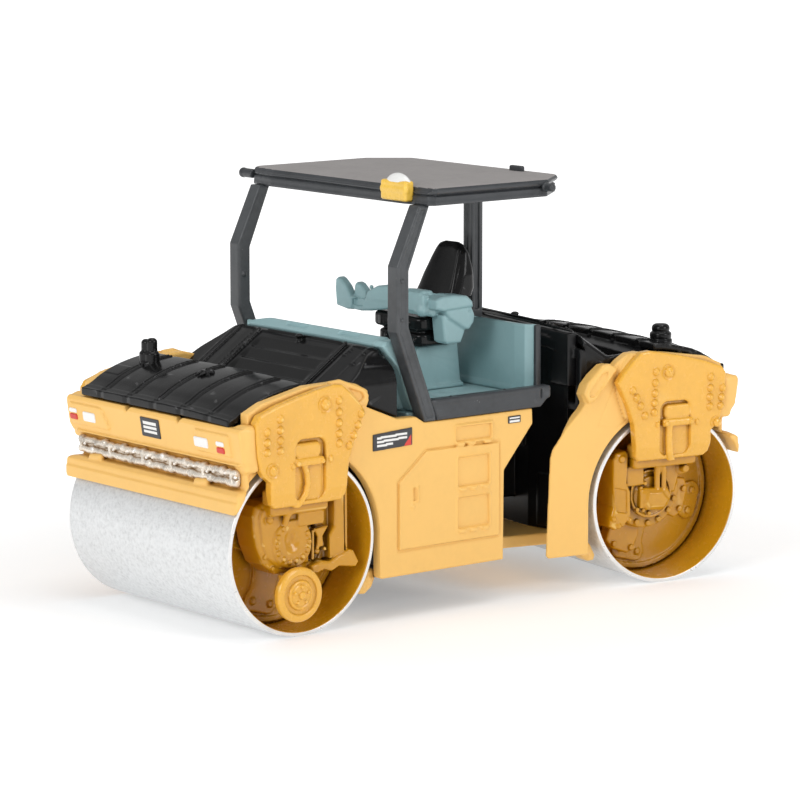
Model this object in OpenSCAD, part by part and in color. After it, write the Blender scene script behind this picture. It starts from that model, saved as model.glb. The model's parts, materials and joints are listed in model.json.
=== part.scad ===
/* [Stance] */
// Steering angle the machine stands at, in degrees; minus swings the rear end towards +X
steer_angle = -9.1; // [-12:0.1:0]
// Distance from the front drum axis back to the steering pin, in mm
pin_from_front = 31.23; // [31:0.01:31.6]
// Distance from the steering pin back to the rear drum axis, in mm
pin_to_rear = 23.03; // [22.9:0.01:23.6]

/* [Drums] */
// Outer radius of each drum, in mm
drum_r = 10.15; // [10:0.01:10.2]
// Half of a drum's width, in mm
drum_half = 15.45; // [15.2:0.01:15.45]
// Wall of the drum skin, in mm
drum_wall = 0.52; // [0.4:0.01:0.6]
// Radius of the steel axle, in mm
axle_r = 1; // [0.8:0.01:1.1]
// Radial running gap of every turning joint, in mm
running_gap = 0.05; // [0.03:0.01:0.08]

/* [Body] */
// Outer face of the side panels from the centre plane, in mm
panel_x = 15.7; // [15.65:0.01:15.75]
// Thickness of the side panels, in mm
panel_t = 1.4; // [1.2:0.01:1.45]
// Outer face of the drum brackets from the centre plane, in mm
bracket_x = 17.15; // [17:0.01:17.3]
// Radius of the wheel arch, in mm
arch_r = 10.85; // [10.8:0.01:10.95]
// Height of the belly plate's underside above the ground, in mm
belly_z = 5; // [4.8:0.05:5.2]

/* [Operator platform] */
// Height of the platform floor, in mm
floor_z = 24.3; // [24.2:0.01:24.4]
// Underside of the roof above the ground, in mm
roof_z = 46.9; // [46.6:0.01:47.2]
// Thickness of the roof, in mm
roof_t = 1.95; // [1.8:0.01:2.2]

/* [Hidden] */
rear_y = pin_from_front + pin_to_rear;
drum_in = drum_r - drum_wall;
panel_in = panel_x - panel_t;
hood_x = panel_in - 0.1;
ox = -1.53;
oy = -28.14;
engine_top = 30.4;

// ---------- placing ----------
module front() translate([ox, oy, 0]) children();
module rear() translate([ox, oy + pin_from_front, 0]) rotate([0, 0, steer_angle])
  translate([0, -pin_from_front, 0]) children();
module rear_end() rear() translate([0, rear_y, 0]) rotate([0, 0, 180]) children();
module left() mirror([1, 0, 0]) children();

// a cylinder lying along X, on a line at (y, z)
module xcyl(r, a, b, y = 0, z = 0, fn = 64)
  translate([a, y, z]) rotate([0, 90, 0]) cylinder(r = r, h = b - a, $fn = fn);
// a side view outline (y, z) given thickness along X
module side(a, b) translate([a, 0, 0]) rotate([90, 0, 90]) linear_extrude(b - a) children();
// a front view outline (x, z) given thickness along Y
module face(a, b) translate([0, b, 0]) rotate([90, 0, 0]) linear_extrude(b - a) children();
module box(x0, x1, y0, y1, z0, z1) translate([x0, y0, z0]) cube([x1 - x0, y1 - y0, z1 - z0]);
// an outline pulled in towards a point, for frames and reliefs
module inset(c, k) translate(c) scale(k) translate([-c[0], -c[1]]) children();

// ---------- drums ----------
module drum_shell() color("silver") difference() {
  xcyl(drum_r, -drum_half, drum_half, 0, drum_r, 128);
  xcyl(drum_in, -drum_half - 1, drum_half + 1, 0, drum_r, 128);
}
module kidney(r0, r1, half_angle, mid)
  intersection() {
    difference() { circle(r = r1, $fn = 64); circle(r = r0, $fn = 64); }
    rotate(mid) polygon([[0, 0], [12 * cos(half_angle), 12 * sin(half_angle)], [14, 0],
      [12 * cos(half_angle), -12 * sin(half_angle)]]);
  }
module drum_hub() color("goldenrod") translate([0, 0, drum_r]) {
  difference() {
    union() {
      xcyl(drum_in, 9.0, 9.9, fn = 128);
      xcyl(2.5, 7.6, 10.2);
      for (i = [0:7]) rotate([i * 45 + 12, 0, 0]) translate([0, 8.55, 0]) xcyl(0.36, 9.8, 10.15, fn = 16);
    }
    xcyl(axle_r + running_gap, 7, 11);
    for (i = [0:3]) side(8, 10.5) kidney(4.3, 7.5, 27, 30 + 90 * i);
  }
}
module axle() color("lightgray") xcyl(axle_r, -14.1, 14.1, 0, drum_r);

// ---------- drum brackets and drives ----------
bracket_pts = [[-7.45, 24.8], [-6.9, 25.6], [-4.4, 26.45], [-1.6, 27.15], [1.2, 27.75], [3.3, 28.1],
  [4.5, 28], [5.7, 27], [7.1, 25.6], [7.8, 24.6], [7.3, 23.7], [6.35, 21.7], [5.5, 19.5], [5.3, 17.8],
  [5.1, 15.6], [4.6, 15], [-4.6, 15], [-5.2, 15.5], [-5.45, 16.9], [-5.4, 18], [-6.3, 18.7],
  [-6.8, 19.5], [-7.2, 20.9], [-7.4, 23.1]];
module bracket() color("orange") {
  difference() {
    union() {
      side(panel_x, bracket_x) polygon(bracket_pts);
      side(12.2, panel_x + 0.4) polygon([[-4.4, 15], [4.5, 15], [4.5, 16.6], [3.4, 17.3], [-3.4, 17.3], [-4.4, 16.6]]);
    }
    side(bracket_x - 0.55, bracket_x + 1) polygon([[-1.9, 14.5], [2.1, 14.5], [2.1, 21.9], [1.5, 22.5], [-1.3, 22.5], [-1.9, 21.9]]);
  }
  // cross clamp and hose in the pocket
  side(bracket_x - 0.55, bracket_x + 0.1) polygon([[-1.9, 19.5], [1.7, 19.2], [1.7, 20.2], [-1.9, 20.5]]);
  side(bracket_x - 0.55, bracket_x - 0.05) polygon([[-0.9, 15.4], [-0.3, 15.4], [0.2, 17.3], [0.2, 19.4], [-0.4, 19.4], [-0.4, 17.4]]);
  // bolt rows
  for (z = [21.5, 22.65, 23.8]) xcyl(0.36, bracket_x, bracket_x + 0.26, -6, z, 16);
  for (z = [21.5, 22.7, 23.85, 25]) xcyl(0.36, bracket_x, bracket_x + 0.26, -4.2, z, 16);
  for (z = [21.5, 22.6, 23.8, 25, 26.3]) xcyl(0.36, bracket_x, bracket_x + 0.26, 3.94, z, 16);
  for (i = [0:3]) xcyl(0.36, bracket_x, bracket_x + 0.26, 5.2 + i * 0.61, 21.2 + i * 1.13, 16);
  // large studs
  for (p = [[1.99, 26.1], [-5.2, 19.4]]) { xcyl(0.75, bracket_x, bracket_x + 0.2, p[0], p[1], 32); xcyl(0.4, bracket_x, bracket_x + 0.5, p[0], p[1], 16); }
}
module drive() color("goldenrod") {
  difference() {
    union() {
      side(10.5, 14.2) polygon([[-6.1, 13.6], [-5.9, 11], [-5.2, 9], [-3.9, 7.7], [-2.8, 7], [0.8, 7], [2, 8],
        [2, 15], [-4.4, 15], [-5.6, 14.5]]);
      xcyl(3.3, 14.2, 14.7, -0.9, 10.35, 64);
      side(10.5, 14) polygon([[2, 8], [4.1, 8], [4.1, 13.2], [2, 13.2]]);
      side(10.5, 15) polygon([[4.1, 8.3], [4.1, 7.2], [7.9, 7.2], [7, 9.4], [6.8, 14], [6.5, 15], [3.4, 15], [3.4, 13.2], [4.1, 13.2]]);
      side(10.5, 14.9) polygon([[-2.2, 13], [2.6, 13], [2.6, 15], [-2.2, 15]]);
    }
    xcyl(axle_r, 10, 14.1, 0, drum_r);
  }
  for (i = [0:11]) xcyl(0.3, 14.7, 14.95, -0.9 + 2.75 * cos(i * 30), 10.35 + 2.75 * sin(i * 30), 16);
  xcyl(0.45, 15, 15.3, 5.3, 13.9, 24);
}
module edge_wheel_shape() color("orange") {
  side(14.2, 15.6) polygon([[-2.6, 7], [0.5, 7], [0, 4], [-2.1, 4]]);
  difference() {
    xcyl(3.1, 15.6, 16.7, -1.1, 4.95, 64);
    difference() { xcyl(2.2, 16.45, 17, -1.1, 4.95, 64); xcyl(1.5, 16, 17, -1.1, 4.95, 64); }
  }
  xcyl(0.7, 16.7, 17.05, -1.1, 4.95, 32);
  for (i = [0:4]) xcyl(0.22, 16.7, 16.9, -1.1 + 1.15 * cos(i * 72 + 20), 4.95 + 1.15 * sin(i * 72 + 20), 16);
}

// ---------- end modules, the same front and rear ----------
module arch_cut(depth = 0) { translate([0, drum_r]) circle(r = arch_r, $fn = 96);
  polygon([[-12, -1], [arch_r, -1], [arch_r, drum_r], [-12, drum_r]]); }
module fascia() color("gold") difference() {
  union() {
    side(-16.6, 16.6) difference() {
      polygon([[-9.85, 14.7], [-9.75, 16.9], [-9.2, 17.3], [-8.2, 17.4], [-8.2, 19.8], [-8.9, 20.2], [-9.5, 23.8],
        [-9.3, 24.2], [-8.6, 24.2], [-8.6, 23.9], [-7.65, 23.9], [-7.65, 14]]);
      translate([0, drum_r]) circle(r = arch_r - 0.1, $fn = 96);
    }
    // lamp plates
    for (s = [-1, 1]) side(s > 0 ? 8.2 : -15.9, s > 0 ? 15.9 : -8.2)
      polygon([[-9.0, 20.9], [-9.2, 20.9], [-9.62, 23.4], [-9.4, 23.4]]);
  }
  for (x = [-5, 5]) translate([x, -9.2, 24.3]) rotate([0, 45, 0]) cube([0.9, 2, 0.9], center = true);
}
hood_top = [[-8.45, 25.2], [-7.6, 25.8], [-4.8, 26.85], [-1, 27.55], [2.3, 27.8]];
module hood(r, x, y) color("black") difference() {
  hood_skin();
  translate([x, y, 26.9]) cylinder(r = r, h = 4, $fn = 48);
}
module hood_skin() {
  side(-hood_x, hood_x) polygon(concat([[-8.45, 24.2]], hood_top, [[2.3, 27], [-1, 26.7], [-4.8, 26], [-7.2, 25], [-7.2, 24.2]]));
  for (x = [-9.9, -4.95, 0, 4.95, 9.9], s = [-1, 1]) side(x + s * 0.35 - 0.13, x + s * 0.35 + 0.13)
    polygon([[-7.9, 25.4], [-7.6, 26], [-4.8, 27.05], [-1, 27.75], [1.8, 27.97], [1.8, 27.5], [-1, 27.3], [-4.8, 26.6]]);
}
module cowl(back) color("black") {
  // middle with slats
  side(-9.8, 9.8) polygon([[2.35, 27], [2.35, 27.6], [3.5, 27.75], [11.2, 31.2], [back, 31.1], [back, 30.4], [11.3, 30.4], [3.6, 27]]);
  for (i = [0:4]) side(-6.2, 7.2) polygon([[4.3 + i * 1.3, 28 + i * 0.59], [5.4 + i * 1.3, 28.95 + i * 0.59], [5.7 + i * 1.3, 28.6 + i * 0.59]]);
  for (s = [-1, 1], t = [-0.3, 0.3]) side(s * 8.9 + t - 0.12, s * 8.9 + t + 0.12)
    polygon([[3.5, 27.65], [3.5, 27.95], [11, 31.4], [11.1, 31.1]]);
}
// the sloping shoulder beside the middle of the cowl
module shoulder(back, wide) color("black") {
  hull() {
    box(9.8, 9.82, 2.35, 2.45, 27, 27.6);
    box(9.8, 11.8, 11.2, back, 30.4, 31.1);
    box(hood_x - 0.02, hood_x, 2.35, 2.45, 26.5, 27.2);
    box(hood_x - 0.02, hood_x, 9, back - 0.8, 27.4, wide > hood_x ? 29.6 : 28.4);
  }
  if (wide > hood_x) hull() {
    box(hood_x - 0.02, hood_x, 9.6, back - 0.6, 29, 29.6);
    box(wide - 0.02, wide, 10, back - 0.6, 29, 29.3);
  }
}

// ---------- front frame ----------
front_panel_pts = [[-7.65, 16], [-7.65, 25.7], [-5.5, 26.7], [0.6, 28], [5.6, 28.1], [7.6, 27.6], [9.1, 26.8], [9.3, 25.6],
  [8.95, 24.9], [13.4, 23.1], [16.1, 23.05], [17.3, 22.3], [33.4, 22.3], [33.5, 20.5], [29.2, 15.5], [29.1, 5], [11.1, 5], [10.8, 5.4]];
door_pts = [[13.4, 7.9], [13.4, 15.8], [17.5, 19], [28.5, 18.5], [28.8, 7.9]];
module front_panel() color("gold") {
  difference() {
    side(panel_in, panel_x) difference() { polygon(front_panel_pts); arch_cut(); }
    // door seam
    side(panel_x - 0.2, panel_x + 1) difference() { polygon(door_pts); inset([21, 12.8], 0.965) polygon(door_pts); }
  }
  for (v = [[21.8, 27.2, 19.3, 21.1], [22.3, 26.8, 14, 17.7], [22.5, 26.8, 9.2, 13.2]]) {
    difference() { box(panel_x, panel_x + 0.18, v[0], v[1], v[2], v[3]);
      for (n = [0:floor((v[3] - v[2]) / 0.9) - 1]) box(panel_x + 0.08, panel_x + 1, v[0] + 0.4, v[1] - 0.4, v[2] + 0.35 + n * 0.9, v[2] + 0.75 + n * 0.9); }
    for (k = [0:2]) box(panel_x, panel_x + 0.2, v[0] + 0.8 + k * 1.3, v[0] + 1.4 + k * 1.3, v[2] - 0.55, v[2] - 0.25);
  }
  box(panel_x, panel_x + 0.35, 15.9, 16.25, 13.4, 15);
  xcyl(0.3, panel_x, panel_x + 0.3, 15.4, 12.8, 24);
}
module front_chassis_shape() color("dimgray") {
  // deck over the drum, bulkhead, box behind the drum
  box(-panel_in, panel_in, -7.65, 11.5, 21.15, 22.1);
  difference() {
    box(-panel_in, panel_in, 11.5, 28.9, belly_z + 1.2, 22.3);
    box(-panel_in + 1.3, panel_in - 1.3, 12.8, 27.2, 5, 21.3);
    box(-3.7, 3.7, 26.5, 30, 9.4, 15.6);
  }
  // steering yoke: two ears around the pin
  difference() {
    for (z = [[7.2, 9.4], [15.6, 17.8]]) translate([0, 0, z[0]]) {
      translate([0, pin_from_front, 0]) cylinder(r = 3.2, h = z[1] - z[0], $fn = 64);
      translate([-3.2, 28.9, 0]) cube([6.4, pin_from_front - 28.9, z[1] - z[0]]);
    }
    translate([0, pin_from_front, 5]) cylinder(r = 1.2, h = 20, $fn = 48);
  }
  box(-14.2, 14.2, 28.9, 33.3, 20.9, 22.3);
}
module belly() color("dimgray") difference() {
  box(-panel_in, panel_in, 11.1, 28.9, belly_z, belly_z + 1.2);
  for (x = [-9.5, 9.5], y = [14, 26]) translate([x, y, belly_z - 1]) { cylinder(r = 0.7, h = 5, $fn = 32); cylinder(r = 1.25, h = 1.4, $fn = 32); }
}
module screws() color("silver") for (x = [-9.5, 9.5], y = [14, 26]) translate([x, y, belly_z]) difference() {
  union() { cylinder(r = 0.7, h = 1.2, $fn = 32); translate([0, 0, 0]) cylinder(r = 1.15, h = 0.4, $fn = 32); }
  translate([-0.75, -0.12, -1]) cube([1.5, 0.24, 1.2]); translate([-0.12, -0.75, -1]) cube([0.24, 1.5, 1.2]);
}

// ---------- operator platform ----------
module dash() color("cadetblue") {
  box(-12, 12, 12.9, 14.5, 31, 31.8);
  for (s = [-1, 1]) side(s > 0 ? 11.95 : -13.85, s > 0 ? 13.85 : -11.95)
    polygon([[12.7, 31.3], [12.95, 31.8], [14.5, 31.8], [18.2, floor_z], [17.2, floor_z], [16.5, 26.6]]);
  // inner bulkhead under the dash
  side(-12, 12) polygon([[13.3, 31], [14.1, 31], [17.3, floor_z], [16.5, floor_z]]);
}
module cheek() color("black") side(panel_in + 0.05, panel_x - 0.4)
  polygon([[7.8, 27.5], [9.2, 28.7], [10, 29.3], [12.2, 29.3], [14.1, 27.3], [15.8, 24], [16, 23.2], [13.6, 23.2], [9.3, 24.95], [9.45, 25.7], [9.2, 26.95]]);
module floor_shape() color("cadetblue") difference() {
  union() {
    box(-14.5, 14.5, 16.2, 35.8, 22.3, floor_z);
    translate([0, 0, 22.3]) linear_extrude(floor_z - 22.3) polygon([[-12.9, 35], [12.9, 35], [12.9, 37.6], [3, 37.6], [2.4, 38.6], [-2.4, 38.6], [-3, 37.6], [-12.9, 37.6]]);
    for (i = [0:6]) box(-11.5, -5, 19.5 + i * 1.9, 20.1 + i * 1.9, floor_z, floor_z + 0.18);
    for (i = [0:6]) box(5, 11.5, 19.5 + i * 1.9, 20.1 + i * 1.9, floor_z, floor_z + 0.18);
    box(-3.2, 3.2, 19.5, 24.5, floor_z, floor_z + 0.22);
  }
  for (s = [-1, 1]) box(s > 0 ? 13.85 : -16, s > 0 ? 16 : -13.85, 15, 19, 20, 26);
}
module rear_wall() color("cadetblue") difference() {
  translate([0, 0, floor_z]) linear_extrude(8.1) polygon([[-10.6, 35.8], [10.6, 35.8], [12.1, 36.2], [12.9, 37.2],
    [12.9, 37.6], [11.9, 37.6], [11.6, 37], [10.6, 36.55], [-10.6, 36.55], [-11.6, 37], [-11.9, 37.6], [-12.9, 37.6], [-12.9, 37.2], [-12.1, 36.2]]);
}
module sill() color("dimgray")
  side(14.55, 15.95) polygon([[18.98, 22.35], [18.98, 22.62], [18.12, 24.75], [36, 24.75], [36, 23.6], [34.6, 22.35]]);
module post() color("dimgray") side(13.9, 15.75) polygon([[17.3, 22.3], [13.25, 32.8], [13.25, 40.2], [16.4, roof_z],
  [18, roof_z], [14.75, 39.9], [14.75, 33.1], [18.9, 22.6], [18.9, 22.3]]);
module rear_post() color("dimgray") {
  difference() { box(-0.9, 0.9, 36.7, 38.4, floor_z, roof_z); box(0.65, 2, 37.25, 37.75, 32, roof_z - 1); box(-2, -0.65, 37.25, 37.75, 32, roof_z - 1); }
}
// bracket that carries the rear post behind the wall
roof_pts = [[-12.1, 17.1], [12.1, 17.1], [17, 18.1], [17, 34.6], [13.2, 39.3], [-13.2, 39.3], [-17, 34.6], [-17, 18.1]];
module roof_shape() color("gray") difference() {
  union() {
    translate([0, 0, roof_z]) linear_extrude(roof_t - 0.6) polygon([[-12, 16.7], [12, 16.7], [16.2, 17.3], [16.75, 18], [16.75, 34.5], [13, 39.05], [-13, 39.05], [-16.75, 34.5], [-16.75, 18], [-16.2, 17.3]]);
    translate([0, 0, roof_z + roof_t - 0.6]) linear_extrude(0.6) polygon(roof_pts);
    translate([0, 0, roof_z + roof_t]) linear_extrude(0.25) inset([0, 28.2], 0.94) polygon(roof_pts);
  }
  box(9.25, 13.85, 10, 17.35, roof_z + 0.3, roof_z + 5);
}
module roof_fitting_shapes() color("dimgray") {
  difference() {
    translate([-18.9, 17.6, roof_z + 1.1]) rotate([0, 90, 0]) cylinder(r = 0.6, h = 4, $fn = 32);
    translate([0, 0, roof_z - 1]) linear_extrude(5) polygon([[-12, 16.65], [12, 16.65], [17, 17.9], [17.2, 19], [17.2, 34.6], [13.2, 39.3], [-13.2, 39.3], [-17.02, 34.6], [-17.02, 18.1], [-16.2, 17.25]]);
  }
  translate([17.02, 34.1, roof_z + 1.1]) rotate([0, 90, 0]) cylinder(r = 0.75, h = 1.4, $fn = 32);
  box(7.6, 9.8, 36.6, 37.2, roof_z + roof_t + 0.25, roof_z + roof_t + 0.8);
}
module receiver_block() color("gold") box(9.3, 13.8, 16, 17.3, roof_z + 0.35, roof_z + 2.55);
module receiver_cap() color("white") intersection() {
  translate([11.55, 16.65, roof_z + 0.9]) sphere(r = 2.5, $fn = 64);
  box(9.4, 13.7, 16.05, 17.25, roof_z + 2.55, roof_z + 6);
}

// ---------- seat ----------
module pedestal() color("cadetblue") difference() {
  translate([0, 0, floor_z]) union() {
    side(-2.3, 2.3) polygon([[26.8, 0], [27.3, 4.1], [33.4, 4.1], [34, 0]]);
  }
  translate([0, 30, floor_z + 1]) cylinder(r = 0.8 + running_gap, h = 8, $fn = 48);
}
module swivel_pin() color("silver") translate([0, 30, floor_z + 1.4]) cylinder(r = 0.8, h = 4.6, $fn = 48);
module cushion() color("black") difference() {
  union() {
    side(-4, 4) polygon([[26.5, 29.0], [26.2, 31.5], [26.6, 32.05], [27.6, 32.08], [27.8, 32.3], [32.3, 32.3], [32.3, 28.7], [27.2, 28.7]]);
    for (z = [29.5, 30.6]) side(-4.2, 4.2) polygon([[26, z], [26, z + 0.5], [27.9, z + 0.5], [27.9, z]]);
  }
  translate([0, 30, 28]) cylinder(r = 0.8, h = 2.3, $fn = 48);
}
module backrest() color("black") intersection() {
  side(-3.7, 3.7) polygon([[31, 32.35], [31.1, 34.6], [33.3, 39.8], [34, 40.5], [34.9, 40.2], [35.1, 39.1], [33.9, 33.4], [33.4, 32.35]]);
  face(30, 36) polygon([[-3.2, 32], [3.4, 32], [3.7, 34], [3.4, 36.5], [2.6, 39.8], [1.9, 40.7], [-1.3, 40.7], [-2.1, 39.8], [-3, 36.5], [-3.4, 34]]);
}
module console() color("cadetblue") {
  // bar across, middle box, armrest, leg, pair of levers
  side(-11, 4.3) polygon([[25.9, 32.1], [25.6, 33.8], [26.2, 34.5], [27.5, 34.4], [27.5, 32.2]]);
  box(0.7, 4.2, 25.7, 27.6, 34.3, 35.3);
  side(4.3, 6.9) polygon([[26.6, 32.4], [26.6, 33.9], [27.6, 34.8], [31.9, 34.8], [32.5, 33.9], [32.2, 32.2], [30.5, 31.7], [28, 32.3]]);
  side(4.3, 6.2) polygon([[28.2, 29.2], [28.1, 32.3], [30.5, 31.7], [31.6, 32.1], [31.3, 29.2]]);
  side(-11, -9.8) polygon([[25.7, 33.8], [27, 34.3], [26.2, 35.8], [25.6, 35.9]]);
  side(-8.7, -7.7) polygon([[25.8, 34.1], [27, 34.4], [26.5, 35.4], [25.9, 35.5]]);
}

// ---------- rear frame ----------
rear_skirt_pts = [[-7.65, 16], [-7.65, 25.7], [-5.5, 26.7], [0.6, 27.8], [4, 27.9], [6, 27.7], [7.5, 26.6], [8.5, 26.95], [9.6, 26.4],
  [11.6, 24.5], [12, 23.4], [11.9, 22.2], [14.2, 19.4], [16.2, 16.5], [16.7, 4.4], [10.8, 4.4]];
module skirt() color("gold") side(panel_in, panel_x) difference() { polygon(rear_skirt_pts); arch_cut(); }
module engine_outline() polygon([[-hood_x, 11.0], [-6, 13.6], [6, 13.6], [hood_x, 11.0]]);
module rear_chassis_shape() color("black") {
  // everything here is measured from the rear drum axis, forwards is plus
  box(-panel_in, panel_in, -7.65, 11.3, 21.15, 22.1);
  difference() {
    translate([0, 0, 5.9]) linear_extrude(engine_top - 5.9) engine_outline();
  }
  // ribs on the front wall
  for (x = [-5, -2.5, 2.5, 5]) box(x - 0.3, x + 0.3, 13.6, 13.8, 16, 30.4);
  // tongue to the steering pin
  difference() {
    union() {
      box(-3, 3, 13.6, pin_to_rear, 9.5, 15.5);
      translate([0, pin_to_rear, 9.5]) cylinder(r = 3, h = 6, $fn = 64);
    }
    translate([0, pin_to_rear, 5]) cylinder(r = 1.2 + running_gap, h = 20, $fn = 48);
  }
  // step under the hitch
  box(-10.5, 10.5, 11.2, 20.6, 4.9, 5.9);
}
module pin_shape() color("silver") translate([0, pin_from_front, 0]) {
  translate([0, 0, 7.0]) cylinder(r = 1.2, h = 11.2, $fn = 48);
  translate([0, 0, 18.2]) cylinder(r = 1.9, h = 0.8, $fn = 48);
}

// ---------- nodes ----------
module front_chassis() front() front_chassis_shape();
module belly_plate() front() belly();
module front_side_panel_right() front() front_panel();
module front_side_panel_left() front() left() front_panel();
module front_fascia() front() fascia();
module front_bracket_right() front() bracket();
module front_bracket_left() front() left() bracket();
module front_drive_right() front() drive();
module front_drive_left() front() left() drive();
module edge_wheel() front() edge_wheel_shape();
module front_drum_shell() front() drum_shell();
module front_drum_hub_right() front() drum_hub();
module front_drum_hub_left() front() left() drum_hub();
module front_axle() front() axle();
module front_hood() front() hood(1.05, -10.1, -2.4);
module hood_latch() color("black") front() translate([0.9, 0, 0]) { box(-0.5, 0.9, -2.9, -1.7, 27.68, 28.1);
  for (x = [-0.3, 0.4]) box(x, x + 0.3, -3.5, -2.9, 27.6, 27.85); }
module exhaust_stub() color("black") front() translate([-10.1, -2.4, 26.9]) { cylinder(r = 1.05, h = 2.1, $fn = 48); translate([0, 0, 2.1]) cylinder(r = 0.75, h = 1.6, $fn = 48); }
module front_spray_bar() color("silver") front() {
  for (z = [18.1, 19.2]) xcyl(0.36, -15.2, 15.2, -8.6, z, 32);
  for (i = [0:9]) box(-14 + i * 3.05, -13.5 + i * 3.05, -9, -8.2, 17.8, 19.5);
}
module front_lamp_lenses() color("white") front() {
  for (s = [-1, 1]) { side(s * 11.9 - 1.2 + (s > 0 ? -2 : 0) * 1.15, s * 11.9 + 1.2 + (s > 0 ? -2 : 0) * 1.15) polygon([[-9.32, 21.6], [-9.5, 21.6], [-9.72, 22.8], [-9.52, 22.8]]); }
  for (s = [-1, 1]) side(s * 14.2 - 0.8 + (s < 0 ? -1 : -1.3), s * 14.2 + 0.8 + (s < 0 ? -1 : -1.3)) polygon([[-9.44, 22.2], [-9.6, 22.2], [-9.72, 22.8], [-9.54, 22.8]]);
}
module front_signal_lenses() color("red") front() {
  for (s = [-1, 1]) side(s * 14.2 - 0.8 + (s < 0 ? -1 : -1.3), s * 14.2 + 0.8 + (s < 0 ? -1 : -1.3)) polygon([[-9.35, 21.6], [-9.5, 21.6], [-9.6, 22.15], [-9.44, 22.15]]);
}
module front_badge() color("white") front() side(-1.9, 1.5) polygon([[-9.1, 21.3], [-9.28, 21.3], [-9.64, 23.4], [-9.45, 23.4]]);
module side_badges() color("black") front() { for (s = [-1, 1]) {
  side(s > 0 ? panel_x : -panel_x - 0.12, s > 0 ? panel_x + 0.12 : -panel_x) polygon([[9.8, 19.75], [15.4, 20], [15.4, 21.9], [9.8, 21.6]]);
  side(s > 0 ? panel_x : -panel_x - 0.12, s > 0 ? panel_x + 0.12 : -panel_x) polygon([[29.7, 20.9], [31.5, 20.9], [31.5, 21.6], [29.7, 21.6]]); } }
module front_cowl() front() { cowl(12.8); shoulder(12.8, panel_x - 0.4); left() shoulder(12.8, panel_x - 0.4); cheek(); left() cheek(); }
module dash_trim() front() dash();
module platform_floor() front() floor_shape();
module platform_rear_wall() front() rear_wall();
module sill_right() front() sill();
module sill_left() front() left() sill();
module roof_post_right() front() post();
module roof_post_left() front() left() post();
module roof_post_rear() front() rear_post();
module roof() front() roof_shape();
module roof_fittings() front() roof_fitting_shapes();
module receiver_base() front() receiver_block();
module receiver_dome() front() receiver_cap();
module drum_scrapers_front() color("gold") front() for (s = [-1, 1]) side(s > 0 ? 11.6 : -14.2, s > 0 ? 14.2 : -11.6)
  polygon([[11.1, 5.9], [9.9, 5.6], [8.9, 3.5], [9.4, 3.3], [11.1, 4.9]]);
module seat_pedestal() front() pedestal();
module seat_swivel_pin() front() swivel_pin();
module seat_cushion() front() cushion();
module seat_backrest() front() backrest();
module seat_console() front() console();
module hitch_pin() front() pin_shape();
module chassis_screws() front() screws();
module rear_chassis() rear_end() rear_chassis_shape();
module rear_skirt_right() rear_end() left() skirt();
module rear_skirt_left() rear_end() skirt();
module rear_fascia() rear_end() fascia();
module rear_bracket_right() rear_end() left() bracket();
module rear_bracket_left() rear_end() bracket();
module rear_drive_right() rear_end() left() drive();
module rear_drive_left() rear_end() drive();
module rear_drum_shell() rear_end() drum_shell();
module rear_drum_hub_right() rear_end() left() drum_hub();
module rear_drum_hub_left() rear_end() drum_hub();
module rear_axle() rear_end() axle();
module rear_hood() rear_end() hood(1.45, -10.2, -2.6);
module rear_cowl() rear_end() difference() {
  union() { cowl(12.6); shoulder(12, hood_x); left() shoulder(12, hood_x); }
  // room for the engine block
  translate([0, 0, 20]) linear_extrude(engine_top - 19.95) translate([-20, 10.95]) square([40, 8]);
}
module filler_cap() color("black") rear_end() translate([-10.2, -2.6, 26.9]) cylinder(r = 1.45, h = 2.9, $fn = 48);
module rear_lamp_lenses() color("red") rear_end() for (s = [-1, 1]) side(s > 0 ? 9.2 : -13.2, s > 0 ? 13.2 : -9.2)
  polygon([[-9.32, 21.6], [-9.5, 21.6], [-9.72, 22.8], [-9.52, 22.8]]);
module drum_scrapers_rear() color("gold") rear_end() for (s = [-1, 1]) side(s > 0 ? 11.6 : -14.2, s > 0 ? 14.2 : -11.6)
  polygon([[11.1, 5.9], [9.9, 5.6], [8.9, 3.5], [9.4, 3.3], [11.1, 4.9]]);

front_chassis();
belly_plate();
front_side_panel_right();
front_side_panel_left();
front_fascia();
front_bracket_right();
front_bracket_left();
front_drive_right();
front_drive_left();
edge_wheel();
front_drum_shell();
front_drum_hub_right();
front_drum_hub_left();
front_axle();
front_hood();
hood_latch();
exhaust_stub();
front_spray_bar();
front_lamp_lenses();
front_signal_lenses();
front_badge();
side_badges();
front_cowl();
dash_trim();
platform_floor();
platform_rear_wall();
sill_right();
sill_left();
roof_post_right();
roof_post_left();
roof_post_rear();
roof();
roof_fittings();
receiver_base();
receiver_dome();
drum_scrapers_front();
seat_pedestal();
seat_swivel_pin();
seat_cushion();
seat_backrest();
seat_console();
hitch_pin();
chassis_screws();
rear_chassis();
rear_skirt_right();
rear_skirt_left();
rear_fascia();
rear_bracket_right();
rear_bracket_left();
rear_drive_right();
rear_drive_left();
rear_drum_shell();
rear_drum_hub_right();
rear_drum_hub_left();
rear_axle();
rear_hood();
rear_cowl();
filler_cap();
rear_lamp_lenses();
drum_scrapers_rear();
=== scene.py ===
import bpy, bmesh, math, json
import numpy as np
from mathutils import Vector, Matrix


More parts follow.
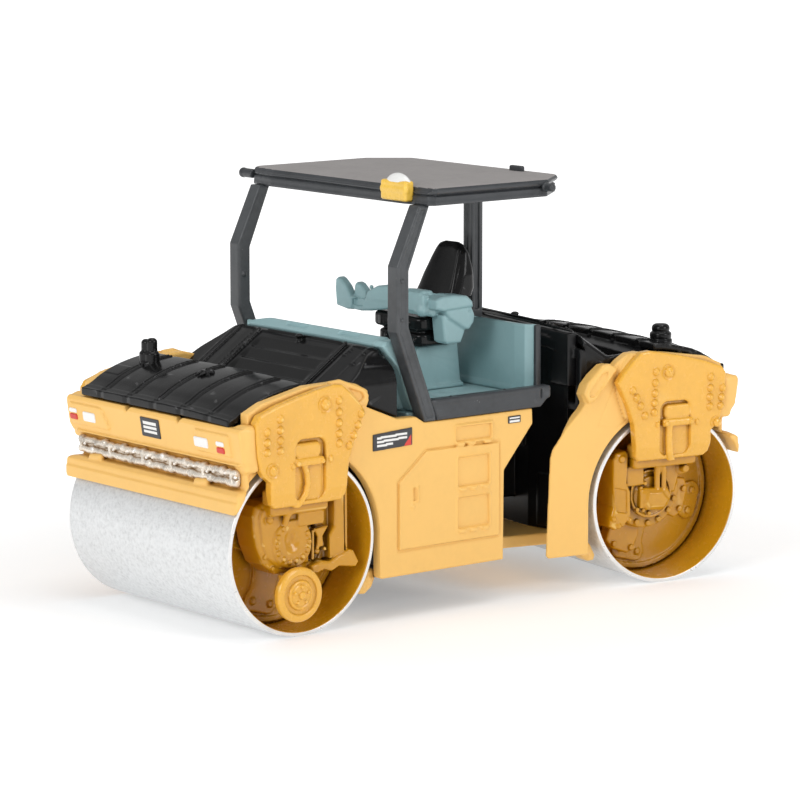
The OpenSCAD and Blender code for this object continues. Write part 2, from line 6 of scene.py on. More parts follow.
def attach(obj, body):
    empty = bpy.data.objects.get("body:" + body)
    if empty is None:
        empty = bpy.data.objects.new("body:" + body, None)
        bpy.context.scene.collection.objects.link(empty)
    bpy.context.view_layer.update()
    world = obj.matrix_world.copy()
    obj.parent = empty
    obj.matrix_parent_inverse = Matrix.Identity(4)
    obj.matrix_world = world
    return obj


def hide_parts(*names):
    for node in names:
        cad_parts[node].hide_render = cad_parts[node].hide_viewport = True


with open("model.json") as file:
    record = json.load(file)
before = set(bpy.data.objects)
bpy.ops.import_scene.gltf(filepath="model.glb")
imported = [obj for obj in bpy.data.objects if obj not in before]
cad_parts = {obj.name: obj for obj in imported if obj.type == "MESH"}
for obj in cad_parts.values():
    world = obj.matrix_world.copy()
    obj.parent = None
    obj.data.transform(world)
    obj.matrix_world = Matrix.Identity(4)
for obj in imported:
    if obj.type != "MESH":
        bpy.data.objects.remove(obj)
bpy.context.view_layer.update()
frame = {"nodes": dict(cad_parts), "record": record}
MM = 0.001
OX, OY, PIN, REAR, TH = -1.53, -28.14, 31.23, 54.26, math.radians(-9.1)

# ------------------------------------------------------------------ camera first
cd = bpy.data.cameras.new("camera"); cam = bpy.data.objects.new("camera", cd)
bpy.context.scene.collection.objects.link(cam)
R = Vector((0.62962, 0.77690, 0.0)); U = Vector((-0.12123, 0.09825, 0.98775)); B = Vector((0.76738, -0.62191, 0.15604))
m = Matrix.Identity(4)
for i in range(3):
    m[i][0], m[i][1], m[i][2] = R[i], U[i], B[i]
m.translation = Vector((0.34180, -0.27997, 0.09183))
cam.matrix_world = m
cd.lens, cd.sensor_width, cd.sensor_height, cd.sensor_fit = 171.2, 36.0, 36.0, 'HORIZONTAL'
cd.clip_start, cd.clip_end = 0.01, 10.0
bpy.context.scene.camera = cam

# ------------------------------------------------------------------ places (part millimetres to metres)
FRONT = Matrix.Scale(MM, 4) @ Matrix.Translation((OX, OY, 0))
REARF = Matrix.Scale(MM, 4) @ Matrix.Translation((OX, OY + PIN, 0)) @ Matrix.Rotation(TH, 4, 'Z') @ Matrix.Translation((0, -PIN, 0))
REND = REARF @ Matrix.Translation((0, REAR, 0)) @ Matrix.Rotation(math.pi, 4, 'Z')
MIRX = Matrix.Scale(-1, 4, (1, 0, 0))

# ------------------------------------------------------------------ distance field kit: shapes are blended solids, then skinned
def P2(pts, A, Bv):
    """signed distance to a closed outline"""
    pts = np.asarray(pts, float); n = len(pts)
    A, Bv = np.broadcast_arrays(A, Bv)
    d = np.full(A.shape, 1e9); s = np.ones(A.shape)
    for i in range(n):
        p, q = pts[i], pts[i - 1]
        ex, ey = q - p
        wx, wy = A - p[0], Bv - p[1]
        t = np.clip((wx * ex + wy * ey) / (ex * ex + ey * ey + 1e-12), 0, 1)
        d = np.minimum(d, (wx - ex * t) ** 2 + (wy - ey * t) ** 2)
        c1 = Bv >= p[1]; c2 = Bv < q[1]; c3 = ex * wy > ey * wx
        s = np.where((c1 & c2 & c3) | (~c1 & ~c2 & ~c3), -s, s)
    return s * np.sqrt(d)
def RR(a0, a1, b0, b1, A, Bv, r=0.0):
    """signed distance to a rectangle with corner radius r"""
    qa = np.abs(A - (a0 + a1) / 2) - (a1 - a0) / 2 + r
    qb = np.abs(Bv - (b0 + b1) / 2) - (b1 - b0) / 2 + r
    return np.minimum(np.maximum(qa, qb), 0) + np.hypot(np.maximum(qa, 0), np.maximum(qb, 0)) - r
def CC(a, b, r, A, Bv): return np.hypot(A - a, Bv - b) - r
def EX(d2, W, a, b, r=0.0):
    """a flat outline given thickness from a to b along W, edges rounded by r"""
    w = np.abs(W - (a + b) / 2) - (b - a) / 2 + r
    d = d2 + r
    return np.minimum(np.maximum(d, w), 0) + np.hypot(np.maximum(d, 0), np.maximum(w, 0)) - r
def smin(a, b, k=0.1):
    h = np.clip(0.5 + 0.5 * (b - a) / k, 0, 1)
    return b + (a - b) * h - k * h * (1 - h)
def smax(a, b, k=0.1): return -smin(-a, -b, k)
def cut(a, b, k=0.06): return smax(a, -b, k)
def BX(G, x0, x1, y0, y1, z0, z1, r=0.1):
    X, Y, Z = G
    qx = np.abs(X - (x0 + x1) / 2) - (x1 - x0) / 2 + r
    qy = np.abs(Y - (y0 + y1) / 2) - (y1 - y0) / 2 + r
    qz = np.abs(Z - (z0 + z1) / 2) - (z1 - z0) / 2 + r
    return np.minimum(np.maximum(np.maximum(qx, qy), qz), 0) + np.sqrt(np.maximum(qx, 0) ** 2 + np.maximum(qy, 0) ** 2 + np.maximum(qz, 0) ** 2) - r
def BALL(G, x, y, z, r, sx=1.0, sy=1.0, sz=1.0):
    X, Y, Z = G
    return (np.sqrt(((X - x) / sx) ** 2 + ((Y - y) / sy) ** 2 + ((Z - z) / sz) ** 2) - r) * min(sx, sy, sz)
def CAP(G, p, q, r):
    """a round bar from p to q"""
    X, Y, Z = G
    p, q = np.asarray(p, float), np.asarray(q, float); e = q - p; L = e @ e
    t = np.clip(((X - p[0]) * e[0] + (Y - p[1]) * e[1] + (Z - p[2]) * e[2]) / L, 0, 1)
    return np.sqrt((X - p[0] - e[0] * t) ** 2 + (Y - p[1] - e[1] * t) ** 2 + (Z - p[2] - e[2] * t) ** 2) - r
def PIPE(G, pts, r, k=0.05):
    d = None
    for a, b in zip(pts[:-1], pts[1:]):
        c = CAP(G, a, b, r); d = c if d is None else np.minimum(d, c)
    return d
def ROD(G, axis, a, b, c0, c1, r, e=0.08):
    """a cylinder along axis 0, 1 or 2 from a to b, centred at (c0, c1) in the other two"""
    others = [G[i] for i in range(3) if i != axis]
    return EX(CC(c0, c1, r, others[0], others[1]), G[axis], a, b, e)
def UN(*ds, k=0.0):
    d = ds[0]
    for e in ds[1:]:
        d = smin(d, e, k) if k > 0 else np.minimum(d, e)
    return d

def skin(field, lo, hi, res):
    """surface nets over the field; returns vertices in part millimetres and quads"""
    ax = [np.arange(l - 1.5 * res, h + 1.6 * res, res) + 0.00037 for l, h in zip(lo, hi)]
    G = np.meshgrid(*ax, indexing='ij', sparse=True)
    F = np.ascontiguousarray(np.broadcast_to(field(G), tuple(len(a) for a in ax))).astype(np.float32)
    F[0] = F[-1] = 1; F[:, 0] = F[:, -1] = 1; F[:, :, 0] = F[:, :, -1] = 1
    S = F < 0
    nx, ny, nz = (n - 1 for n in F.shape)
    c = lambda A, i, j, k: A[i:nx + i, j:ny + j, k:nz + k]
    tot = np.zeros((nx, ny, nz), np.int8)
    for i in (0, 1):
        for j in (0, 1):
            for k in (0, 1): tot += c(S, i, j, k)
    act = (tot > 0) & (tot < 8)
    ii, jj, kk = np.nonzero(act)
    idx = np.full((nx, ny, nz), -1, np.int64); idx[ii, jj, kk] = np.arange(len(ii))
    P = np.zeros((len(ii), 3)); N = np.zeros(len(ii))
    base = np.stack([ii, jj, kk], 1).astype(float)
    corners = [(i, j, k) for i in (0, 1) for j in (0, 1) for k in (0, 1)]
    for a in corners:
        for axn in range(3):
            if a[axn]: continue
            b = list(a); b[axn] = 1
            fa = F[ii + a[0], jj + a[1], kk + a[2]]; fb = F[ii + b[0], jj + b[1], kk + b[2]]
            x = (fa < 0) != (fb < 0)
            t = np.where(x, fa / np.where(x, fa - fb, 1), 0)
            q = base + np.array(a, float); q[:, axn] += t
            P[x] += q[x]; N[x] += 1
    P /= N[:, None]
    V = P * res + np.array([a[0] for a in ax])
    Q = []
    for axn in range(3):
        sl0 = [slice(None)] * 3; sl1 = [slice(None)] * 3
        sl0[axn] = slice(0, -1); sl1[axn] = slice(1, None)
        A0, A1 = S[tuple(sl0)], S[tuple(sl1)]
        e = A0 != A1
        o = [d for d in range(3) if d != axn]
        I = np.nonzero(e)
        keep = (I[o[0]] > 0) & (I[o[1]] > 0) & (I[o[0]] < F.shape[o[0]] - 1) & (I[o[1]] < F.shape[o[1]] - 1)
        I = [v[keep] for v in I]
        flip = A0[tuple(I)]
        def at(d0, d1):
            J = [v.copy() for v in I]; J[o[0]] = J[o[0]] - d0; J[o[1]] = J[o[1]] - d1
            return idx[J[0], J[1], J[2]]
        q = np.stack([at(1, 1), at(0, 1), at(0, 0), at(1, 0)], 1)
        rev = flip if axn != 1 else ~flip
        q[~rev] = q[~rev][:, ::-1]
        Q.append(q)
    Q = np.concatenate(Q); Q = Q[(Q >= 0).all(1)]
    return V, Q

def raw_mesh(name, V, Q, place, mirror=False):
    V = np.asarray(V, float)
    if mirror:
        V = V * np.array([-1, 1, 1]); Q = Q[:, ::-1]
    M = np.array(place)
    W = V @ M[:3, :3].T + M[:3, 3]
    me = bpy.data.meshes.new(name)
    n = Q.shape[1]
    me.vertices.add(len(W)); me.vertices.foreach_set("co", W.astype(np.float32).ravel())
    me.loops.add(Q.size); me.loops.foreach_set("vertex_index", Q.astype(np.int32).ravel())
    me.polygons.add(len(Q)); me.polygons.foreach_set("loop_start", (np.arange(len(Q)) * n).astype(np.int32))
    me.update(calc_edges=True); me.validate()
    me.polygons.foreach_set("use_smooth", np.ones(len(Q), bool))
    o = bpy.data.objects.new(name, me)
    bpy.context.scene.collection.objects.link(o)
    return o

def apply_mods(o):
    dg = bpy.context.evaluated_depsgraph_get()
    me = bpy.data.meshes.new_from_object(o.evaluated_get(dg))
    o.modifiers.clear(); old = o.data; o.data = me; me.name = old.name; bpy.data.meshes.remove(old)

def piece(name, field, lo, hi, res, place, body, mats, mirror=False, replaces=(), paint=None, thin=0.35):
    V, Q = skin(field, lo, hi, res)
    # thinned out at millimetre size, where the flat areas go first and the details stay
    o = raw_mesh(name, V, Q, Matrix.Scale(1000, 4) @ place, mirror)
    if thin and len(Q) > 3000:
        d = o.modifiers.new("thin", 'DECIMATE'); d.ratio = thin * 0.5; d.use_collapse_triangulate = True
        w = o.modifiers.new("normals", 'WEIGHTED_NORMAL'); w.mode = 'FACE_AREA'; w.weight = 70
        apply_mods(o)
    o.data.transform(Matrix.Scale(MM, 4)); o.data.update()
    finish_piece(o, body, mats, replaces, paint, place, mirror)
    return o

def finish_piece(o, body, mats, replaces=(), paint=None, place=FRONT, mirror=False):
    for mt in (mats if isinstance(mats, (list, tuple)) else [mats]): o.data.materials.append(mt)
    if paint:
        inv = np.array(place.inverted())
        me = o.data
        n = len(me.polygons); c = np.zeros(n * 3); nn = np.zeros(n * 3)
        me.polygons.foreach_get("center", c); me.polygons.foreach_get("normal", nn)
        c = c.reshape(-1, 3) @ inv[:3, :3].T + inv[:3, 3]
        nn = nn.reshape(-1, 3) @ inv[:3, :3].T; nn /= np.linalg.norm(nn, axis=1)[:, None] + 1e-12
        if mirror: c[:, 0] *= -1; nn[:, 0] *= -1
        me.polygons.foreach_set("material_index", np.asarray(paint(c, nn)).astype(np.int32))
    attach(o, body)
    if replaces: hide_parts(*replaces)
    return o

def lathe(name, prof, seg, place, body, mats, replaces=(), paint=None, centre=(0, 0), axis='X', mirror=False):
    """a closed ring outline (along, radius) turned round the X axis at centre (y, z)"""
    prof = np.asarray(prof, float); n = len(prof)
    t = np.linspace(0, 2 * math.pi, seg, endpoint=False)
    V = np.zeros((seg, n, 3)); V[:, :, 0] = prof[None, :, 0]
    V[:, :, 1] = centre[0] + prof[None, :, 1] * np.cos(t)[:, None]
    V[:, :, 2] = centre[1] + prof[None, :, 1] * np.sin(t)[:, None]
    a = np.arange(seg)[:, None]; b = np.arange(n)[None, :]
    a2, b2 = (a + 1) % seg, (b + 1) % n
    Q = np.stack([np.broadcast_to(x, (seg, n)) for x in (a * n + b, a * n + b2, a2 * n + b2, a2 * n + b)], -1).reshape(-1, 4)
    o = raw_mesh(name, V.reshape(-1, 3), Q, place, mirror)
    bm = bmesh.new(); bm.from_mesh(o.data); bmesh.ops.recalc_face_normals(bm, faces=bm.faces); bm.to_mesh(o.data); bm.free()
    finish_piece(o, body, mats, replaces, paint, place, mirror)
    return o

# ------------------------------------------------------------------ materials
def lin(c): return tuple((v / 12.92 if v <= 0.04045 else ((v + 0.055) / 1.055) ** 2.4) for v in c)
def material(name, rgb, rough=0.4, grain=0.15, grain_scale=2500, wave=0.0, tint=0.05, tint_scale=220, metallic=0.0,
             coat=0.0, coat_rough=0.1, spec=0.5, rough_var=0.08, edge=0.0, edge_highlight_rgb=None, crease_shade=0.0, speck=0.0, speck_rgb=(1, 1, 1), speck_scale=1500,
             corner_shade=0.0, corner_shade_mix=0.85, corner_shade_rgb=None):
    """painted or moulded surface: broad colour drift, fine grain, painted highlight on sharp edges, painted shade in
    creases and corners, stray specks
    """
    mt = bpy.data.materials.new(name); mt.use_nodes = True
    nt = mt.node_tree; N, L = nt.nodes, nt.links; N.clear()
    out = N.new("ShaderNodeOutputMaterial"); p = N.new("ShaderNodeBsdfPrincipled"); L.new(p.outputs[0], out.inputs[0])
    tc = N.new("ShaderNodeTexCoord")
    def noise(scale, detail=3, rough_=0.5, dist=0):
        n = N.new("ShaderNodeTexNoise"); n.inputs["Scale"].default_value = scale; n.inputs["Detail"].default_value = detail
        n.inputs["Roughness"].default_value = rough_; n.inputs["Distortion"].default_value = dist
        L.new(tc.outputs["Object"], n.inputs["Vector"]); return n
    def ramp(src, stops):
        r = N.new("ShaderNodeValToRGB"); e = r.color_ramp.elements
        while len(e) < len(stops): e.new(0.5)
        for el, (pos, col) in zip(e, stops): el.position = pos; el.color = (*col, 1) if len(col) == 3 else col
        L.new(src, r.inputs[0]); return r
    def mix(fac, a, b, mode='MIX'):
        x = N.new("ShaderNodeMix"); x.data_type = 'RGBA'; x.blend_type = mode
        for s, v in ((x.inputs["Factor"], fac), (x.inputs[6], a), (x.inputs[7], b)):
            if isinstance(v, (int, float)): s.default_value = v
            elif isinstance(v, tuple): s.default_value = (*v, 1)
            else: L.new(v, s)
        return x.outputs[2]
    rgb = tuple(rgb)
    dark = tuple(max(0, v * (1 - tint * 1.6)) for v in rgb); light = tuple(min(1, v * (1 + tint)) for v in rgb)
    broad = noise(tint_scale, 4, 0.55)
    col = ramp(broad.outputs[0], [(0.3, dark), (0.5, rgb), (0.72, light)]).outputs[0]
    fine = noise(grain_scale * 0.5, 2, 0.6)
    col = mix(ramp(fine.outputs[0], [(0.35, (0, 0, 0)), (0.65, (1, 1, 1))]).outputs[0], col, mix(0.5, col, tuple(v * (1 + tint * 1.5) for v in rgb)))
    if corner_shade > 0:
        # painted shade: ambient occlusion darkens the colour in corners and round bolt heads
        ao = N.new("ShaderNodeAmbientOcclusion"); ao.samples = 8; ao.inputs["Distance"].default_value = corner_shade
        cr = ramp(ao.outputs["AO"], [(0.25, (1, 1, 1)), (0.80, (0, 0, 0))])
        cm = N.new("ShaderNodeMath"); cm.operation = 'MULTIPLY'; L.new(cr.outputs[0], cm.inputs[0]); cm.inputs[1].default_value = corner_shade_mix
        col = mix(cm.outputs[0], col, tuple(corner_shade_rgb or tuple(v * 0.35 for v in rgb)))
    if edge > 0 or crease_shade > 0:
        geo = N.new("ShaderNodeNewGeometry")
        if edge > 0:
            # painted highlight: sharp outer edges lighter
            edge_highlight_ramp = ramp(geo.outputs["Pointiness"], [(0.545, (0, 0, 0)), (0.63, (edge,) * 3)])
            col = mix(edge_highlight_ramp.outputs[0], col, tuple(edge_highlight_rgb or tuple(min(1, v * 1.35) for v in rgb)))
        if crease_shade > 0:
            # painted shade: hollows and inner creases darker
            crease_shade_ramp = ramp(geo.outputs["Pointiness"], [(0.34, (crease_shade,) * 3), (0.455, (0, 0, 0))])
            col = mix(crease_shade_ramp.outputs[0], col, tuple(v * 0.45 for v in rgb))
    if speck > 0:
        v = N.new("ShaderNodeTexVoronoi"); v.inputs["Scale"].default_value = speck_scale; L.new(tc.outputs["Object"], v.inputs["Vector"])
        w = noise(speck_scale * 0.31, 1)
        s1 = ramp(v.outputs["Distance"], [(0.06, (1, 1, 1)), (0.14, (0, 0, 0))]).outputs[0]
        s2 = ramp(w.outputs[0], [(0.60, (0, 0, 0)), (0.68, (1, 1, 1))]).outputs[0]
        mm = N.new("ShaderNodeMath"); mm.operation = 'MULTIPLY'; L.new(s1, mm.inputs[0]); L.new(s2, mm.inputs[1])
        m2 = N.new("ShaderNodeMath"); m2.operation = 'MULTIPLY'; L.new(mm.outputs[0], m2.inputs[0]); m2.inputs[1].default_value = speck
        col = mix(m2.outputs[0], col, tuple(speck_rgb))
    L.new(col, p.inputs["Base Color"])
    rr = N.new("ShaderNodeMapRange"); rn = noise(tint_scale * 6, 3, 0.6); L.new(rn.outputs[0], rr.inputs[0])
    rr.inputs[3].default_value = max(0.02, rough - rough_var); rr.inputs[4].default_value = min(1, rough + rough_var)
    L.new(rr.outputs[0], p.inputs["Roughness"])
    b = N.new("ShaderNodeBump"); b.inputs["Strength"].default_value = grain; b.inputs["Distance"].default_value = 0.00004
    L.new(noise(grain_scale, 3, 0.65).outputs[0], b.inputs["Height"])
    last = b
    if wave > 0:
        b2 = N.new("ShaderNodeBump"); b2.inputs["Strength"].default_value = wave; b2.inputs["Distance"].default_value = 0.00012
        L.new(noise(420, 2, 0.5).outputs[0], b2.inputs["Height"]); L.new(b.outputs[0], b2.inputs["Normal"]); last = b2
    L.new(last.outputs[0], p.inputs["Normal"])
    p.inputs["Metallic"].default_value = metallic
    p.inputs["Coat Weight"].default_value = coat; p.inputs["Coat Roughness"].default_value = coat_rough
    p.inputs["Specular IOR Level"].default_value = spec
    return mt

YELLOW = material("body_yellow", (0.86, 0.515, 0.145), rough=0.36, grain=0.08, wave=0.04, tint=0.02, spec=0.4, crease_shade=0.15, corner_shade=0.0007, corner_shade_mix=0.75, corner_shade_rgb=(0.50, 0.22, 0.02))
GOLD = material("casting_gold", (0.78, 0.41, 0.045), rough=0.26, grain=0.06, wave=0.10, tint=0.04, spec=0.5, coat=0.35, coat_rough=0.14, edge=0.4, edge_highlight_rgb=(0.95, 0.66, 0.22), crease_shade=0.6, corner_shade=0.0010, corner_shade_mix=0.9, corner_shade_rgb=(0.32, 0.125, 0.004))
OCHRE = material("hub_ochre", (0.58, 0.285, 0.009), rough=0.26, grain=0.08, wave=0.12, tint=0.06, spec=0.5, coat=0.3, coat_rough=0.14, edge=0.4, edge_highlight_rgb=(0.85, 0.55, 0.13), crease_shade=0.6, corner_shade=0.0014, corner_shade_mix=0.92, corner_shade_rgb=(0.16, 0.055, 0.001))
DRIVE = material("drive_ochre", (0.56, 0.26, 0.005), rough=0.24, grain=0.06, wave=0.14, tint=0.06, spec=0.5, coat=0.3, coat_rough=0.12, edge=0.6, edge_highlight_rgb=(0.85, 0.55, 0.13), crease_shade=0.6, corner_shade=0.0014, corner_shade_mix=0.95, corner_shade_rgb=(0.11, 0.04, 0.001))
SILVER = material("drum_silver", (0.715, 0.727, 0.732), rough=0.42, grain=0.9, grain_scale=3200, tint=0.10, tint_scale=2600, metallic=0.35, spec=0.5, rough_var=0.12, speck=0.6, speck_rgb=(0.36, 0.37, 0.38), speck_scale=3600)
RIM = material("rim_silver", (0.78, 0.78, 0.77), rough=0.3, grain=0.3, grain_scale=3200, tint=0.06, metallic=0.6, wave=0.1)
CHAR = material("frame_charcoal", (0.038, 0.041, 0.045), rough=0.34, grain=0.20, grain_scale=2600, tint=0.18, spec=0.42, edge=0.15, edge_highlight_rgb=(0.12, 0.125, 0.13), speck=0.3, speck_rgb=(0.3, 0.3, 0.3))
# a lighter copy of the frame charcoal for the posts: painted light on them
CHAR_LIT = material("post_charcoal_lit", (0.056, 0.060, 0.064), rough=0.34, grain=0.20, grain_scale=2600, tint=0.18, spec=0.42, edge=0.15, edge_highlight_rgb=(0.12, 0.125, 0.13), speck=0.3, speck_rgb=(0.3, 0.3, 0.3))
BLACK = material("engine_black", (0.005, 0.005, 0.0055), rough=0.32, grain=0.12, tint=0.2, spec=0.3, edge=0.15, edge_highlight_rgb=(0.03, 0.03, 0.032))
GLOSSB = material("hood_black", (0.006, 0.006, 0.0062), rough=0.20, grain=0.06, wave=0.10, tint=0.2, spec=0.24, edge=0.5, edge_highlight_rgb=(0.11, 0.11, 0.112), speck=0.10, speck_rgb=(0.25, 0.25, 0.25))
BLUE = material("platform_grey_blue", (0.30, 0.465, 0.485), rough=0.36, grain=0.10, wave=0.10, tint=0.04, spec=0.45, edge=0.1, edge_highlight_rgb=(0.50, 0.63, 0.64), crease_shade=0.15, speck=0.15, speck_rgb=(0.46, 0.58, 0.59), corner_shade=0.0005, corner_shade_mix=0.55, corner_shade_rgb=(0.06, 0.115, 0.125))
# a lighter copy of the grey-blue for the platform floor: painted light on it
BLUE_LIT = material("platform_floor_blue_lit", (0.46, 0.66, 0.68), rough=0.36, grain=0.10, wave=0.10, tint=0.04, spec=0.45, edge=0.1, edge_highlight_rgb=(0.50, 0.63, 0.64), crease_shade=0.15, speck=0.15, speck_rgb=(0.46, 0.58, 0.59), corner_shade=0.0005, corner_shade_mix=0.55, corner_shade_rgb=(0.06, 0.115, 0.125))
ROOFG = material("roof_grey", (0.30, 0.282, 0.275), rough=0.6, grain=0.45, grain_scale=3000, tint=0.05, spec=0.3, speck=0.35, speck_rgb=(0.42, 0.40, 0.39), speck_scale=2200)
STEEL = material("steel_pin", (0.55, 0.55, 0.55), rough=0.28, metallic=1.0, grain=0.2, tint=0.05)
RAIL = material("rail_silver", (0.66, 0.60, 0.52), rough=0.26, metallic=0.35, grain=0.5, wave=0.7, tint=0.25, tint_scale=900, edge=0.9, edge_highlight_rgb=(0.97, 0.96, 0.95), crease_shade=0.7, corner_shade=0.0006, corner_shade_mix=0.9, corner_shade_rgb=(0.34, 0.19, 0.06))
WHITE = material("lens_white", (0.84, 0.83, 0.81), rough=0.3, grain=0.1, tint=0.03, wave=0.1)
DOME = material("receiver_white", (0.80, 0.80, 0.78), rough=0.22, grain=0.1, tint=0.03, wave=0.3, coat=0.4, coat_rough=0.1)
RED = material("lens_red", (0.62, 0.045, 0.03), rough=0.3, grain=0.1, tint=0.08, wave=0.1)
INK = material("badge_ink", (0.035, 0.036, 0.04), rough=0.45, grain=0.15, tint=0.1)
INKW = material("badge_pale", (0.78, 0.78, 0.76), rough=0.45, grain=0.15, tint=0.04)
RECV = material("receiver_yellow", (0.83, 0.52, 0.07), rough=0.28, grain=0.1, wave=0.4, tint=0.06, coat=0.2, coat_rough=0.15)
MATS = {"body_yellow": YELLOW, "casting_gold": GOLD, "hub_ochre": OCHRE, "drum_silver": SILVER, "frame_charcoal": CHAR, "engine_black": BLACK,
        "hood_black": GLOSSB, "platform_grey_blue": BLUE, "roof_grey": ROOFG, "steel_pin": STEEL, "rail_silver": RAIL, "lens_white": WHITE,
        "lens_red": RED, "badge_ink": INK, "receiver_yellow": RECV}
slot_of = {s["node"]: s["material_slot"] for s in frame["record"]["subparts"]}

# ------------------------------------------------------------------ CAD nodes: their material and softened edges
for n, o in frame["nodes"].items():
    mt = MATS[slot_of[n]]
    if not o.data.materials: o.data.materials.append(mt)
    for i in range(len(o.data.materials)): o.data.materials[i] = mt
    w = o.modifiers.new("weld", 'WELD'); w.merge_threshold = 2e-6
    d = o.modifiers.new("flat", 'DECIMATE'); d.decimate_type = 'DISSOLVE'; d.angle_limit = math.radians(0.6)
    bv = o.modifiers.new("edge", 'BEVEL'); bv.width = 0.00014; bv.segments = 3; bv.limit_method = 'ANGLE'; bv.angle_limit = math.radians(35); bv.harden_normals = False
    o.modifiers.new("normals", 'WEIGHTED_NORMAL').keep_sharp = False
    o.data.polygons.foreach_set("use_smooth", np.ones(len(o.data.polygons), bool))

# ------------------------------------------------------------------ drums
def rounded_ring(r0, r1, a, b, e=0.12, k=4):
    pts = []
    for cx, cr, t0 in ((b - e, r1 - e, 0), (a + e, r1 - e, 90), (a + e, r0 + e, 180), (b - e, r0 + e, 270)):
        for i in range(k + 1):
            t = math.radians(t0 + 90 * i / k)
            pts.append((cx + e * math.cos(t), cr + e * math.sin(t)))
    return pts
for end, body, place in (("front", "front_drum", FRONT), ("rear", "rear_drum", REND)):
    prof = rounded_ring(9.63, 10.15, -15.45, 15.45, 0.14)
    lathe(f"{end}_drum_skin", prof, 256, place, body, [SILVER, OCHRE, RIM], (f"{end}_drum_shell",), centre=(0, 10.15),
          paint=lambda c, n: np.where(np.hypot(c[:, 1], c[:, 2] - 10.15) < 9.72, 1, np.where(np.abs(c[:, 0]) > 15.3, 2, 0)))

# ------------------------------------------------------------------ drum ends: web, hub and four bolted lobes
def hub_field(turn):
    def f(G):
        X, Y, Z = G; z = Z - 10.15
        d = EX(np.hypot(Y, z) - 9.64, X, 8.95, 9.75, 0.05)
        star = np.hypot(Y, z) - 3.5
        for k in range(4):
            t = math.radians(turn + 90 * k); c, s = math.cos(t), math.sin(t)
            u = Y * c + z * s; v = -Y * s + z * c
            arm = RR(0, 7.3, -1.75, 1.75, u, v, 0.3); lobe = RR(6.1, 8.4, -2.3, 2.3, u, v, 1.1)
            star = smin(star, smin(arm, lobe, 0.6), 1.6)
        star = EX(star, X, 9.5, 10.2, 0.15)
        d = smin(d, star, 0.12)
        d = smin(d, EX(np.abs(np.hypot(Y, z) - 9.1) - 0.35, X, 9.6, 9.95, 0.12), 0.12)
        for k in range(4):
            for s_ in (-9.75, 9.75):
                t = math.radians(turn + 90 * k + s_)
                d = smin(d, ROD(G, 0, 10.0, 10.5, 7.3 * math.cos(t), 10.15 + 7.3 * math.sin(t), 0.42, 0.16), 0.08)
        d = np.maximum(d, -(np.hypot(Y, z) - 1.05))
        return d
    return f
for end, body, place, turn in (("front", "front_drum", FRONT, 75), ("rear", "rear_drum", REND, 14)):
    for side, mir in (("right", False), ("left", True)):
        if end == "rear": mir_geo = (side == "right")
        else: mir_geo = mir
        piece(f"{end}_drum_end_{side}", hub_field(turn), (8.9, -9.7, 0.4), (10.7, 9.7, 19.9), 0.16, place, body, OCHRE,
              mirror=mir_geo, replaces=(f"{end}_drum_hub_{side}",), thin=0.4)

# ------------------------------------------------------------------ drum brackets
bracket_pts = [[-7.45, 24.8], [-6.9, 25.6], [-4.4, 26.45], [-1.6, 27.15], [1.2, 27.75], [3.3, 28.1],
  [4.5, 28], [5.7, 27], [7.1, 25.6], [7.8, 24.6], [7.3, 23.7], [6.35, 21.7], [5.5, 19.5], [5.3, 17.8],
  [5.1, 15.6], [4.6, 15], [-4.6, 15], [-5.2, 15.5], [-5.45, 16.9], [-5.4, 18], [-6.3, 18.7],
  [-6.8, 19.5], [-7.2, 20.9], [-7.4, 23.1]]
def bracket_field(bolts, studs, small, pk, hose, stem):
    def f(G):
        X, Y, Z = G
        P = P2(bracket_pts, Y, Z)
        d = EX(P, X, 15.75, 17.1, 0.32)
        d = smin(d, EX(P2([[-4.4, 15], [4.5, 15], [4.5, 16.6], [3.4, 17.3], [-3.4, 17.3], [-4.4, 16.6]], Y, Z), X, 13.9, 16.3, 0.15), 0.2)
        # foot of the plate dives towards the drive
        d = smax(d, (X - 17.1) + np.maximum(16.6 - Z, 0) * 0.35, 0.3)
        a0, a1, b0, b1 = pk
        pocket = RR(a0, a1, b0, b1, Y, Z, 1.05)
        d = cut(d, np.maximum(pocket, 16.42 - X), 0.35)
        # rounded housing in the top of the pocket, clamp bar with two bolts below it
        c = (a0 + a1) / 2
        d = smin(d, EX(RR(a0 - 0.1, a1 - 0.55, b1 - 2.2, b1 - 0.35, Y, Z, 0.7), X, 16.1, 17.0, 0.42), 0.15)
        d = smin(d, BX(G, 16.3, 17.25, a0 - 0.25, a1 - 0.25, b1 - 2.95, b1 - 2.05, 0.3), 0.12)
        for y in (a0 + 0.1, a1 - 0.65):
            d = smin(d, ROD(G, 0, 17.0, 17.45, y, b1 - 2.55, 0.3, 0.15), 0.08)
        d = smin(d, PIPE(G, hose, stem), 0.14)
        for y, z in bolts:
            d = smin(d, EX(np.hypot(Y - y, Z - z) - 0.46, X, 16.8, 17.26, 0.1), 0.08)
            d = smin(d, BALL(G, 17.16, y, z, 0.36, 1.1, 1, 1), 0.04)
        for y, z, r in studs:
            d = smax(d, -(np.abs(np.hypot(Y - y, Z - z) - r - 0.22) - 0.13 + np.maximum(16.98 - X, 0) * 3), 0.12)
            d = smin(d, ROD(G, 0, 16.9, 17.36, y, z, r, 0.18), 0.06)
            d = smin(d, BALL(G, 17.3, y, z, r * 0.42, 0.9, 1, 1), 0.08)
        for y, z, r in small: d = smin(d, BALL(G, 17.1, y, z, r * 1.4, 0.8, 1, 1.3), 0.08)
        return d
    return f
fb = [(-6, z) for z in (21.5, 22.6, 23.75)] + [(-4.2, z) for z in (21.5, 22.65, 23.8, 25)] + [(3.94, z) for z in (21.5, 22.6, 23.8, 25, 26.3)] + [(5.35, 21.1), (6.0, 22.2), (6.6, 23.3), (7.05, 24.5)]
